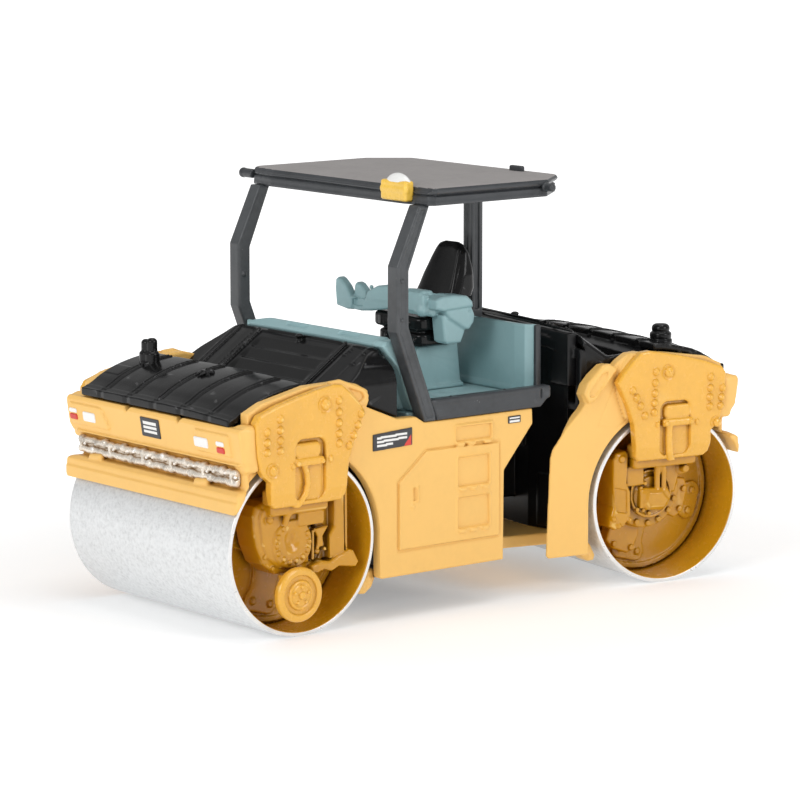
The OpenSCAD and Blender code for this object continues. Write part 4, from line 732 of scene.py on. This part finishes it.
# ------------------------------------------------------------------ roof and posts
roof_pts = [[-12.1, 17.1], [12.1, 17.1], [16.6, 17.6], [17, 18.1], [17, 34.6], [13.2, 39.3], [-13.2, 39.3], [-17, 34.6], [-17, 18.1], [-16.6, 17.6]]
low_pts = [[-12, 16.7], [12, 16.7], [16.2, 17.3], [16.75, 18], [16.75, 34.5], [13, 39.05], [-13, 39.05], [-16.75, 34.5], [-16.75, 18], [-16.2, 17.3]]
def roof_field(G):
    X, Y, Z = G
    L, T = P2(low_pts, X, Y), P2(roof_pts, X, Y)
    d = EX(L, Z, 46.9, 48.4, 0.25)
    # slightly crowned top with a rounded border
    crown = 48.85 + 0.25 * np.clip(-T / 3.0, 0, 1) ** 0.7
    top = smax(T + 0.0 * Z, np.maximum(Z - crown, 48.1 - Z), 0.55)
    d = smin(d, top, 0.12)
    d = cut(d, EX(np.abs(L) - 0.3, Z, 47.95, 48.12, 0.02), 0.1)
    d = smin(d, EX(np.abs(L + 0.25) - 0.3, Z, 46.85, 47.25, 0.15), 0.08)
    d = cut(d, EX(L + 1.6, Z, 46.0, 47.5, 0.2), 0.2)
    d = cut(d, BX(G, 9.25, 13.85, 12, 17.35, 47.2, 52, 0.05), 0.05)
    return d
piece("roof_panel", roof_field, (-17.1, 16.6, 46.8), (17.1, 39.4, 49.3), 0.16, FRONT, "front_frame", [ROOFG, CHAR], replaces=("roof",), thin=0.4,
      paint=lambda c, n: np.where((n[:, 2] > 0.80) & (c[:, 2] > 48.75), 0, 1))
def post_field(G):
    X, Y, Z = G
    P = P2([[17.3, 22.3], [13.25, 32.8], [13.25, 40.2], [16.4, 46.9], [18, 46.9], [15.0, 39.7], [15.0, 33.3], [18.95, 23.0], [18.95, 22.3]], Y, Z)
    d = EX(P, X, 13.85, 15.8, 0.3)
    d = cut(d, EX(P + 0.45, X, 15.62, 16.5, 0.05), 0.1)
    for y, z in ((14.0, 38.6), (14.0, 34.2)):
        d = smin(d, ROD(G, 0, 15.4, 15.9, y, z, 0.2, 0.08), 0.06)
    d = smin(d, ROD(G, 0, 13.6, 14.2, 14.0, 36.6, 0.3, 0.1), 0.06)
    return d
for side in ("right", "left"):
    piece(f"roof_post_{side}_cast", post_field, (13.5, 13.1, 22.2), (15.95, 19.0, 47.0), 0.12, FRONT, "front_frame", CHAR_LIT, mirror=side == "left",
          replaces=(f"roof_post_{side}",), thin=0.4)
def receiver(G):
    X, Y, Z = G
    d = BX(G, 9.3, 13.8, 15.95, 17.32, 47.2, 49.5, 0.3)
    d = smin(d, BX(G, 9.15, 13.9, 15.95, 16.6, 48.1, 48.8, 0.25), 0.2)
    return d
piece("receiver_box", receiver, (9.1, 15.9, 47.1), (14.0, 17.4, 49.6), 0.09, FRONT, "front_frame", RECV, replaces=("receiver_base",), thin=0)
def dome(G):
    return smax(BALL(G, 11.75, 16.68, 48.72, 2.1, 1.05, 0.40, 0.76), 49.3 - G[2], 0.08)
piece("receiver_dome_cast", dome, (9.2, 15.8, 49.2), (13.9, 17.5, 50.4), 0.08, FRONT, "front_frame", DOME, replaces=("receiver_dome",), thin=0)

# ------------------------------------------------------------------ seat
def back_field(G):
    X, Y, Z = G
    s = P2([[31, 32.35], [31.0, 33.6], [31.9, 35.2], [32.6, 37.3], [33.1, 39.6], [33.6, 40.5], [34.1, 40.55], [34.5, 39.7], [34.95, 37.4], [35.05, 35.0], [34.2, 33.0], [33.4, 32.35]], Y, Z)
    fr = P2([[-3.3, 32.3], [3.4, 32.3], [3.75, 34], [3.7, 36.6], [3.3, 39.2], [2.6, 40.3], [1.6, 40.75], [-0.6, 40.7], [-1.7, 40.1], [-2.5, 38.9], [-4.0, 36.6], [-4.6, 34.6], [-4.4, 33]], X, Z)
    d = smax(smax(s, fr, 1.1), 31.0 - Y, 0.2)
    # the shell turns back sharply on the right, softly on the left
    yc = 31.15 + (Z - 34.2) * 0.36
    d = smax(d, (X - 2.9) * 0.75 - (Y - yc) * 0.65, 0.25)
    d = smax(d, -(X + 3.3) * 0.7 - (Y - yc) * 0.6 + (Z - 34) * 0.12, 1.0)
    q = np.sqrt(((X - 0.2) / 2.6) ** 2 + ((Y - yc + 0.45) / 0.85) ** 2 + ((Z - 36.3) / 4.4) ** 2) - 1
    d = smax(d, -q * 0.85, 0.5)
    d = smin(d, CAP(G, (2.95, 31.5, 33.4), (2.7, 33.2, 39.4), 0.16), 0.2)
    d = smin(d, CAP(G, (-3.2, 31.3, 33.2), (2.8, 31.3, 33.2), 0.3), 0.5)
    return d
piece("seat_back_shell", back_field, (-4.8, 30.7, 32.2), (4.0, 35.3, 41.0), 0.11, FRONT, "seat", GLOSSB, replaces=("seat_backrest",), thin=0)
def cushion_field(G):
    X, Y, Z = G
    o = RR(-4.3, 4.1, 26.1, 33.0, X, Y, 1.2)
    d = EX(o, Z, 30.55, 32.15, 0.42)
    d = smin(d, EX(o + 0.1, Z, 28.72, 30.2, 0.35), 0.1)
    d = smin(d, EX(o + 0.55, Z, 29.6, 31.2, 0.1), 0.08)
    d = smin(d, EX(RR(-5.0, -2.6, 26.2, 29.6, X, Y, 0.9), Z, 30.5, 32.2, 0.45), 0.25)
    for x in (-1.6, 0.2, 2.0): d = smin(d, BALL(G, x, 26.1, 31.35, 0.24), 0.12)
    for x in (-2.4, -0.4, 1.4, 3.0): d = smin(d, BALL(G, x, 26.2, 29.5, 0.2), 0.1)
    d = smin(d, BALL(G, 0, 29.6, 32.1, 2.6, 1.2, 1.0, 0.16), 0.3)
    return smax(smax(d, Z - 32.33, 0.05), Y - 32.4, 0.2)
piece("seat_cushion_shell", cushion_field, (-5.2, 25.7, 28.6), (4.4, 32.5, 32.4), 0.11, FRONT, "seat", GLOSSB, replaces=("seat_cushion",), thin=0)
def console_field(G):
    X, Y, Z = G
    # thin bar across the front
    d = EX(P2([[-9.2, 32.0], [-9.4, 33.0], [-6.2, 33.5], [-3.6, 34.2], [-1.5, 34.6], [2.3, 34.4], [2.3, 32.7], [-1.9, 32.6], [-5.0, 32.1], [-7.0, 31.9]], X, Z), Y, 25.9, 27.4, 0.35)
    # left tray with an upright paddle, a second lever and a raised housing
    d = smin(d, EX(P2([[-11.25, 32.2], [-11.5, 34.2], [-11.4, 35.35], [-10.9, 35.65], [-10.4, 35.45], [-9.5, 34.75], [-8.6, 33.6], [-7.6, 33.4], [-8.4, 32.0], [-9.2, 31.9]], X, Z), Y, 25.7, 26.9, 0.3), 0.2)
    d = smin(d, EX(P2([[-8.7, 33.2], [-8.5, 34.9], [-8.1, 35.25], [-7.5, 35.1], [-6.6, 34.4], [-6.2, 33.4]], X, Z), Y, 26.3, 27.4, 0.28), 0.15)
    d = smin(d, EX(P2([[-6.0, 33.3], [-5.6, 34.4], [-4.6, 34.85], [-3.7, 35.25], [-1.9, 35.5], [-1.0, 35.3], [-0.8, 33.4]], X, Z), Y, 25.8, 27.5, 0.35), 0.15)
    d = cut(d, BX(G, -8.2, -6.4, 25.2, 26.15, 32.5, 33.3, 0.15), 0.12)
    # middle box, leaning
    d = smin(d, EX(P2([[25.3, 33.2], [25.5, 35.2], [26.0, 35.55], [27.3, 35.4], [27.8, 34.6], [27.6, 32.7], [25.8, 32.6]], Y, Z), X, 1.9, 5.0, 0.35), 0.15)
    d = smin(d, BX(G, 4.4, 5.3, 25.5, 26.6, 33.0, 35.1, 0.3), 0.15)
    d = smin(d, CAP(G, (4.6, 26.0, 33.2), (5.0, 28.5, 33.2), 0.75), 0.3)
    d = smin(d, BALL(G, 5.1, 27.1, 32.9, 0.55), 0.2)
    # armrest shell and its lower body
    arm = P2([[26.3, 33.4], [26.24, 34.5], [27.1, 34.9], [28.9, 34.95], [31, 34.7], [31.8, 34.0], [31.9, 33.3], [27.3, 33.1]], Y, Z)
    d = smin(d, EX(arm, X, 4.0, 7.0, 0.42), 0.12)
    low = P2([[27.5, 33.3], [31.8, 33.4], [32.3, 32.4], [32.2, 31.5], [31.5, 30.7], [30.8, 30.75], [28.4, 32.2]], Y, Z)
    d = smin(d, EX(low, X, 4.2, 6.75, 0.4), 0.12)
    d = smin(d, EX(P2([[27.6, 32.6], [28.0, 29.45], [28.4, 29.15], [30.5, 29.15], [31.1, 30.4], [31.2, 32.4]], Y, Z), X, 4.15, 6.35, 0.35), 0.25)
    d = cut(d, BX(G, 6.55, 7.5, 31.2, 31.75, 32.75, 33.3, 0.12), 0.1)
    for x in (-5.2, -3.2): d = smin(d, BALL(G, x, 26.3, 34.9, 0.26), 0.1)
    d = smin(d, CAP(G, (4.5, 27.4, 34.95), (6.5, 27.9, 34.95), 0.12), 0.1)
    return d
piece("seat_console_cast", console_field, (-11.7, 25.1, 29.0), (7.1, 32.8, 36.0), 0.1, FRONT, "seat", BLUE, replaces=("seat_console",), thin=0.6)

# ------------------------------------------------------------------ spray rails
def rails(G):
    X, Y, Z = G
    wob = 0.05 * np.sin(X * 2.1) + 0.04 * np.sin(X * 5.3 + 1)
    d = np.minimum(np.hypot(Y + 8.6, Z - 18.12 - wob) - 0.40, np.hypot(Y + 8.6, Z - 19.2 + wob) - 0.38)
    d = np.minimum(d, np.maximum(np.abs(Y + 8.35) - 0.16, np.abs(Z - 18.66) - 0.6))
    d = smax(d, np.abs(X) - 15.2, 0.2)
    for i, x in enumerate((-14.6, -12.4, -10.1, -8.9, -6.3, -4.9, -2.4, -1.2, 1.4, 3.0, 5.6, 6.7, 9.1, 10.3, 12.5, 14.3)):
        z = 19.25 if i % 2 == 0 else 18.15
        d = smin(d, EX(np.hypot(Y + 8.62, Z - z) - 0.52, X, x - 0.32, x + 0.32, 0.14), 0.1)
        if i % 3 == 0: d = smin(d, BX(G, x - 0.2, x + 0.2, -9.05, -8.2, 17.85, 19.5, 0.14), 0.12)
        d = smin(d, BALL(G, x + 0.85, -8.95, 19.0 + 0.15 * ((i * 7) % 3 - 1), 0.22), 0.1)
    return d
piece("spray_rails", rails, (-15.3, -9.2, 17.6), (15.3, -8.0, 19.8), 0.1, FRONT, "front_frame", RAIL, replaces=("front_spray_bar",), thin=0.5)

# ------------------------------------------------------------------ dash rail over the cowl
def dash_field(G):
    X, Y, Z = G
    ax = np.abs(X)
    d = EX(P2([[12.85, 30.95], [12.9, 31.2], [14.1, 31.95], [14.5, 31.85], [14.7, 31.1]], Y, Z), X, -11.5, 12.6, 0.16)
    d = smax(d, (Z - 31.45 - np.maximum(X + 11.6, 0) * 0.18) * 0.95, 0.1)
    leg = EX(P2([[12.75, 31.1], [13.2, 31.6], [14.5, 31.75], [18.2, 23.3], [17.1, 23.3], [15.1, 28.4]], Y, Z), ax, 11.9, 13.8, 0.25)
    leg = np.where(X < 0, np.maximum(np.maximum(leg, 14.3 - Y), Z - 31.2), leg)
    d = smin(d, leg, 0.3)
    d = smin(d, EX(P2([[12.95, 30.9], [13.3, 31.3], [14.1, 31.2], [17.3, 23.3], [16.4, 23.3]], Y, Z), X, -12.1, 12.1, 0.1), 0.1)
    # shallow trays on top and a pressed line along the leg
    for x0, x1 in ((-5.2, -1.2), (4.6, 8.4)): d = cut(d, BX(G, x0, x1, 13.25, 14.05, 31.45, 32.6, 0.18), 0.1)
    d = cut(d, np.maximum(np.abs(ax - 12.75) - 0.09, np.maximum(np.abs((Y - 14.6) + (Z - 30.9) * 0.44) - 0.1, Z - 31.0)), 0.1)
    return d
piece("dash_cast", dash_field, (-13.9, 12.6, 23.2), (13.9, 18.3, 32.3), 0.15, FRONT, "front_frame", BLUE, replaces=("dash_trim",), thin=0.5)

# ------------------------------------------------------------------ rear wall of the platform, its dark corner flanges
def wall_outline(G):
    X, Y, Z = G; ax = np.abs(X)
    return P2([[-1, 35.8], [9.6, 35.8], [11.1, 36.1], [12.0, 36.85], [12.45, 37.1], [12.35, 37.5], [11.7, 37.5], [11.2, 37.0], [10.4, 36.6], [-1, 36.6]], ax, Y)
def wall_field(G):
    X, Y, Z = G; ax = np.abs(X)
    d = EX(wall_outline(G), Z, 23.27, 31.35, 0.22)
    d = cut(d, BX(G, 2.0, 7.6, 35.95, 36.42, 30.7, 33, 0.1), 0.08)
    d = smin(d, BX(G, -9.2, 9.2, 35.7, 36.1, 23.27, 24.0, 0.2), 0.3)
    d = smin(d, EX(P2([[11.95, 23.3], [12.5, 23.3], [12.45, 31.3], [12.0, 31.3]], ax, Z), Y, 36.7, 37.5, 0.12), 0.1)
    return d
piece("rear_wall_cast", wall_field, (-12.7, 35.6, 23.2), (12.7, 37.7, 31.5), 0.12, FRONT, "front_frame", [BLUE, CHAR], replaces=("platform_rear_wall",), thin=0.4,
      paint=lambda c, n: np.where((np.abs(c[:, 0]) > 12.02) | ((c[:, 0] > 2.0) & (c[:, 0] < 7.6) & (c[:, 2] < 31.15) & (c[:, 2] > 30.5) & (c[:, 1] > 35.95) & (c[:, 1] < 36.45)), 1, 0))

# ------------------------------------------------------------------ floor of the platform with tread
def floor_field(G):
    X, Y, Z = G; ax = np.abs(X)
    d = BX(G, -14.5, 14.5, 16.2, 35.8, 22.3, 23.25, 0.12)
    d = np.minimum(d, EX(P2([[-1, 35], [12.9, 35], [12.9, 37.6], [3, 37.6], [2.4, 38.6], [-1, 38.6]], ax, Y), Z, 22.3, 23.25, 0.1))
    d = np.maximum(d, -BX(G, -19, -13.82, 10, 19, 20, 26, 0)); d = np.maximum(d, -BX(G, 13.82, 19, 10, 19, 20, 26, 0))
    for i in range(6):
        y = 19.6 + i * 2.1
        for a, b in ((-11.5, -4.2), (4.2, 11.5)):
            d = smin(d, BX(G, a, b, y, y + 0.75, 23.0, 23.43, 0.15), 0.1)
    for i in range(3):
        for j in range(9):
            d = smin(d, BALL(G, 12.2 - 0.9 * i + 0.45 * (j % 2), 31.2 - j * 0.95, 23.22, 0.26, 1, 1, 0.8), 0.08)
            d = smin(d, BALL(G, -12.2 + 0.9 * i - 0.45 * (j % 2), 31.2 - j * 0.95, 23.22, 0.26, 1, 1, 0.8), 0.08)
    for y in (24.6, 28.4): d = cut(d, BX(G, -3.4, 14.4, y, y + 0.14, 23.12, 24, 0.04), 0.05)
    return d
piece("platform_floor_cast", floor_field, (-14.6, 16.0, 22.2), (14.6, 38.8, 23.6), 0.15, FRONT, "front_frame", BLUE_LIT, replaces=("platform_floor",), thin=0.4)

# ------------------------------------------------------------------ seat stand
def stand(G):
    X, Y, Z = G
    d = EX(P2([[26.8, 23.25], [27.0, 27.6], [27.5, 28.55], [33.4, 28.55], [34, 23.25]], Y, Z), X, -2.3, 2.3, 0.35)
    d = smin(d, BX(G, -2.6, 2.6, 26.6, 34.1, 23.25, 23.8, 0.2), 0.3)
    d = np.maximum(d, -np.maximum(np.hypot(X, Y - 30) - 0.98, 24.2 - Z))
    return d
piece("seat_stand_cast", stand, (-2.8, 26.4, 23.2), (2.8, 34.3, 28.7), 0.15, FRONT, "front_frame", BLUE, replaces=("seat_pedestal",), thin=0.4)

# ------------------------------------------------------------------ sills and rear post
def sill_field(G):
    X, Y, Z = G
    d = EX(P2([[18.98, 22.35], [18.98, 22.62], [18.12, 24.75], [36, 24.75], [36.0, 23.7], [35.3, 23.0], [34.6, 22.35]], Y, Z), X, 14.55, 15.9, 0.22)
    d = smin(d, BX(G, 14.6, 15.95, 18.6, 35.9, 24.2, 24.75, 0.22), 0.15)
    d = smin(d, BX(G, 15.3, 15.95, 33.9, 36.0, 23.3, 24.6, 0.2), 0.2)
    d = cut(d, BX(G, 15.7, 17, 34.4, 34.7, 23.4, 24.5, 0.1), 0.08)
    for y in (21.5, 29.5): d = smin(d, BALL(G, 15.25, y, 24.75, 0.18), 0.06)
    return d
for side in ("right", "left"):
    piece(f"sill_{side}_cast", sill_field, (14.4, 18.0, 22.2), (16.1, 36.2, 24.95), 0.12, FRONT, "front_frame", CHAR, mirror=side == "left", replaces=(f"sill_{side}",), thin=0.4)
def rpost(G):
    X, Y, Z = G; ax = np.abs(X)
    d = BX(G, -0.9, 0.9, 36.7, 38.4, 23.27, 46.9, 0.2)
    d = cut(d, BX(G, 0.6, 2, 37.2, 37.8, 32, 45.9, 0.1), 0.06); d = cut(d, BX(G, -2, -0.6, 37.2, 37.8, 32, 45.9, 0.1), 0.06)
    d = cut(d, BX(G, -0.35, 0.35, 36, 36.95, 32, 45.9, 0.1), 0.06)
    return d
piece("roof_post_rear_cast", rpost, (-1.1, 36.5, 23.2), (1.1, 38.6, 47.0), 0.13, FRONT, "front_frame", CHAR_LIT, replaces=("roof_post_rear",), thin=0.3)
def fittings(G):
    X, Y, Z = G
    d = ROD(G, 0, -18.9, -16.6, 17.6, 48.0, 0.55, 0.2)
    d = smin(d, ROD(G, 0, -18.9, -18.3, 17.6, 48.0, 0.6, 0.2), 0.1)
    d = np.minimum(d, ROD(G, 0, 16.9, 18.35, 34.1, 48.0, 0.46, 0.2))
    d = smin(d, BALL(G, 17.0, 34.1, 48.0, 0.6, 0.6, 1, 1), 0.15)
    d = np.minimum(d, BX(G, 7.6, 9.8, 36.55, 37.2, 48.95, 49.7, 0.2))
    return d
piece("roof_fittings_cast", fittings, (-19.0, 16.8, 47.2), (18.5, 37.4, 49.9), 0.1, FRONT, "front_frame", CHAR, replaces=("roof_fittings",), thin=0)

# ------------------------------------------------------------------ drum scrapers
def scraper(G):
    X, Y, Z = G
    d = EX(P2([[11.15, 6.0], [10.2, 5.85], [9.6, 5.2], [8.95, 3.9], [9.1, 3.3], [9.9, 3.2], [10.9, 3.9], [11.35, 4.9]], Y, Z), X, 11.7, 14.2, 0.35)
    for x, y, z in ((12.6, 10.6, 5.3), (13.5, 10.2, 4.4), (12.4, 9.9, 3.9), (13.3, 10.9, 5.5)): d = smin(d, BALL(G, x, y, z, 0.5, 1.2, 1, 1), 0.2)
    d = smin(d, BALL(G, 14.05, 10.3, 4.9, 0.5, 0.8, 1.1, 1), 0.15); d = smin(d, BALL(G, 14.05, 9.8, 3.9, 0.4, 0.8, 1.1, 1), 0.12)
    return np.maximum(d, 10.42 - np.hypot(Y, Z - 10.15))
for end, place in (("front", FRONT), ("rear", REND)):
    F2 = lambda G: np.minimum(scraper(G), scraper((-G[0], G[1], G[2])))
    piece(f"{end}_scrapers_cast", F2, (-14.8, 8.7, 3.0), (14.8, 11.6, 6.2), 0.13, place, end + "_frame", YELLOW, replaces=(f"drum_scrapers_{end}",), thin=0.5)

# ------------------------------------------------------------------ lamps, badges
def pads(items, res_pad=0.06):
    """little moulded lenses lying on the sloped face: (x0, x1, z0, z1)"""
    def f(G):
        X, Y, Z = G; d = None
        n = Y + 9.28 + (Z - 22.0) * 0.167
        for x0, x1, z0, z1 in items:
            c = EX(RR(x0, x1, z0, z1, X, Z, 0.22), n, -0.34, 0.3, 0.14)
            d = c if d is None else np.minimum(d, c)
        return d
    return f
WL = [(-13.2, -10.8, 21.55, 22.7), (8.35, 10.9, 21.5, 22.65), (-15.9, -14.4, 22.3, 22.85), (12.45, 13.9, 22.05, 22.6)]
RL = [(-15.9, -14.4, 21.5, 22.2), (12.45, 13.9, 21.25, 21.95)]
piece("front_lamps_clear", pads(WL), (-16.3, -10.1, 21.2), (14.1, -8.9, 23.0), 0.07, FRONT, "front_frame", WHITE, replaces=("front_lamp_lenses",), thin=0.3)
piece("front_lamps_signal", pads(RL), (-16.3, -10.1, 21.0), (14.1, -8.9, 22.4), 0.07, FRONT, "front_frame", RED, replaces=("front_signal_lenses",), thin=0.3)
piece("rear_lamps_signal", pads([(-13.2, -9.2, 21.5, 22.8), (9.2, 13.2, 21.5, 22.8)]), (-13.4, -10.1, 21.2), (13.4, -8.9, 23.0), 0.09, REND, "rear_frame", RED, replaces=("rear_lamp_lenses",), thin=0.3)
def badge(G):
    X, Y, Z = G
    n = Y + 9.2 + (Z - 22.0) * 0.167
    d = EX(RR(-2.0, 1.55, 21.3, 23.5, X, Z, 0.12), n, -0.12, 0.2, 0.05)
    return d
def badge_paint(c, n):
    x, z = c[:, 0] + 0.22, c[:, 2] - 22.4
    bars = (np.abs(x) < 1.25) & ((np.abs(z - 0.5) < 0.16) | (np.abs(z) < 0.16) | (np.abs(z + 0.5) < 0.16)) & (n[:, 1] < -0.5)
    return np.where(bars, 1, 0)
piece("front_badge_plate", badge, (-2.2, -10.1, 21.1), (1.75, -8.9, 23.7), 0.06, FRONT, "front_frame", [INK, INKW], replaces=("front_badge",), paint=badge_paint, thin=0)
def side_badge(G):
    X, Y, Z = G; ax = np.abs(X)
    d = EX(P2([[9.75, 19.75], [15.4, 19.95], [15.4, 21.95], [9.75, 21.65]], Y, Z), ax, 15.62, 15.84, 0.04)
    return np.minimum(d, EX(RR(29.65, 31.55, 20.85, 21.7, Y, Z, 0.08), ax, 15.62, 15.82, 0.03))
def side_paint(c, n):
    y, z = c[:, 1], c[:, 2]; face = np.abs(n[:, 0]) > 0.6
    z0 = 20.75 + (y - 9.75) * 0.04
    bars = (y > 10.3) & (y < 14.6) & ((np.abs(z - z0 - 0.42) < 0.13) | (np.abs(z - z0 + 0.02) < 0.13))
    bars |= (y > 10.3) & (y < 12.6) & (np.abs(z - z0 + 0.46) < 0.13)
    red = (z - z0 + 0.9 < (y - 14.2) * 1.1) & (y > 14.2) & (y < 15.2)
    sm = (y > 29.8) & (y < 31.4) & (np.abs(z - 21.28) < 0.28) & (np.abs(z - 21.28) > 0.07)
    return np.where(face & (bars | sm), 1, np.where(face & red, 2, 0))
piece("side_badge_plates", side_badge, (-15.95, 9.6, 19.6), (15.95, 31.7, 22.1), 0.085, FRONT, "front_frame", [INK, INKW, RED], replaces=("side_badges",), paint=side_paint, thin=0)

# ------------------------------------------------------------------ rear engine body with side flanges, yellow hitch step
def chassis_top(ax): return 29.55 - np.maximum(ax - 8.6, 0) * 0.20
def chassis_field(G):
    X, Y, Z = G; ax = np.abs(X)
    zt = chassis_top(ax)
    o = P2([[-1, 10.9], [-1, 13.6], [6, 13.6], [14.15, 11.0], [14.15, 10.9]], ax, Y)
    wall = smax(EX(o + 0.42, Z, 5.9, 31, 0.1), Z - zt + 0.6, 0.1)
    lip = smax(EX(o, Z, 5.9, 31, 0.15), np.maximum(Z - zt, zt - 1.25 - Z), 0.18)
    d = smin(wall, lip, 0.12)
    d = smin(d, BX(G, -12.9, 12.9, 10.9, 12.2, 24, 30.3, 0.2), 0.1)
    # side walls up to the flange line, and the deck over the drum
    side = EX(P2([[6.6, 21.6], [6.6, 25.9], [7.7, 26.7], [8.6, 27.4], [9.5, 28.15], [11.3, 28.5], [11.3, 21.6]], Y, Z), ax, 13.1, 14.12, 0.18)
    d = smin(d, side, 0.15)
    d = smin(d, CAP(G, (14.0, 8.6, 27.35), (14.0, 9.6, 28.1), 0.2), 0.1); d = smin(d, CAP(G, (-14.0, 8.6, 27.35), (-14.0, 9.6, 28.1), 0.2), 0.1)
    d = np.minimum(d, BX(G, -14.15, 14.15, -7.65, 11.3, 21.15, 22.1, 0.1))
    for x in (-5, -2.5, 2.5, 5): d = smin(d, BX(G, x - 0.3, x + 0.3, 13.0, 13.75, 16, 28.0, 0.12), 0.1)
    # raised strips low on the wall
    for x0, x1, z1 in ((7.4, 9.6, 13.1), (10.4, 11.4, 13.1)):
        d = smin(d, np.maximum(EX(np.maximum(np.abs(ax - (x0 + x1) / 2) - (x1 - x0) / 2, np.abs(Z - (6.8 + z1) / 2) - (z1 - 6.8) / 2), Y, 10, 13.6, 0.1), o + 0.15), 0.08)
    d = np.minimum(d, BX(G, -3, 3, 12.6, 23.0, 9.5, 15.5, 0.25))
    d = smin(d, ROD(G, 2, 9.5, 15.5, 0, 23.03, 3.0, 0.25), 0.1)
    d = np.maximum(d, -(np.hypot(X, Y - 23.03) - 1.27))
    d = np.minimum(d, EX(P2([[-10.5, 11.2], [-9.8, 20.6], [9.8, 20.6], [10.5, 11.2]], X, Y), Z, 4.9, 6.35, 0.2))
    return d
piece("rear_engine_body", chassis_field, (-14.3, -7.8, 4.8), (14.3, 26.2, 30.5), 0.17, REND, "rear_frame", [BLACK, YELLOW], replaces=("rear_chassis",), thin=0.35,
      paint=lambda c, n: np.where(c[:, 2] < 6.45, 1, 0))

# ------------------------------------------------------------------ floor and light
def stage_mesh(name, verts, faces, mt):
    me = bpy.data.meshes.new(name); me.from_pydata(verts, [], faces); o = bpy.data.objects.new(name, me)
    bpy.context.scene.collection.objects.link(o); me.materials.append(mt); return o
fm = bpy.data.materials.new("floor_white"); fm.use_nodes = True
fp = fm.node_tree.nodes["Principled BSDF"]; fp.inputs["Base Color"].default_value = (0.86, 0.86, 0.86, 1); fp.inputs["Roughness"].default_value = 0.7; fp.inputs["Specular IOR Level"].default_value = 0.1; fp.inputs["Emission Color"].default_value = (1, 1, 1, 1); fp.inputs["Emission Strength"].default_value = 0.57
fn, fl = fm.node_tree.nodes, fm.node_tree.links
# the floor glows though it is no lamp, dimmer near the toy than further out: a painted shadow round the machine
gc = fn.new("ShaderNodeTexCoord"); gv = fn.new("ShaderNodeVectorMath"); gv.operation = 'LENGTH'; floor_shadow_ramp = fn.new("ShaderNodeMapRange"); floor_shadow_ramp.interpolation_type = 'SMOOTHSTEP'
fl.new(gc.outputs["Object"], gv.inputs[0]); fl.new(gv.outputs["Value"], floor_shadow_ramp.inputs[0]); fl.new(floor_shadow_ramp.outputs[0], fp.inputs["Emission Strength"])
floor_shadow_ramp.inputs[1].default_value, floor_shadow_ramp.inputs[2].default_value, floor_shadow_ramp.inputs[3].default_value, floor_shadow_ramp.inputs[4].default_value = 0.03, 0.14, 0.26, 0.66
stage_mesh("floor", [(-3, -3, 0), (3, -3, 0), (3, 3, 0), (-3, 3, 0)], [(0, 1, 2, 3)], fm)
def area(name, loc, target, size, power, rgb=(1, 1, 1), sy=None):
    l = bpy.data.lights.new(name, 'AREA'); l.energy = power; l.size = size; l.color = rgb
    if sy: l.shape = 'RECTANGLE'; l.size_y = sy
    o = bpy.data.objects.new(name, l); bpy.context.scene.collection.objects.link(o)
    o.location = loc; o.rotation_euler = (Vector(target) - Vector(loc)).to_track_quat('-Z', 'Y').to_euler()
    return o
area("top", (0.10, 0.0, 0.75), (0, 0, 0.0), 0.5, 1.45)
area("left", (0.20, -0.80, 0.40), (0, 0, 0.02), 0.40, 2.55)
area("right", (0.80, 0.25, 0.35), (0, 0, 0.02), 0.34, 2.0)
w = bpy.data.worlds.new("studio"); bpy.context.scene.world = w; w.use_nodes = True
w.node_tree.nodes["Background"].inputs[0].default_value = (1, 1, 1, 1); w.node_tree.nodes["Background"].inputs[1].default_value = 0.47
bpy.context.scene.view_settings.view_transform = 'Standard'
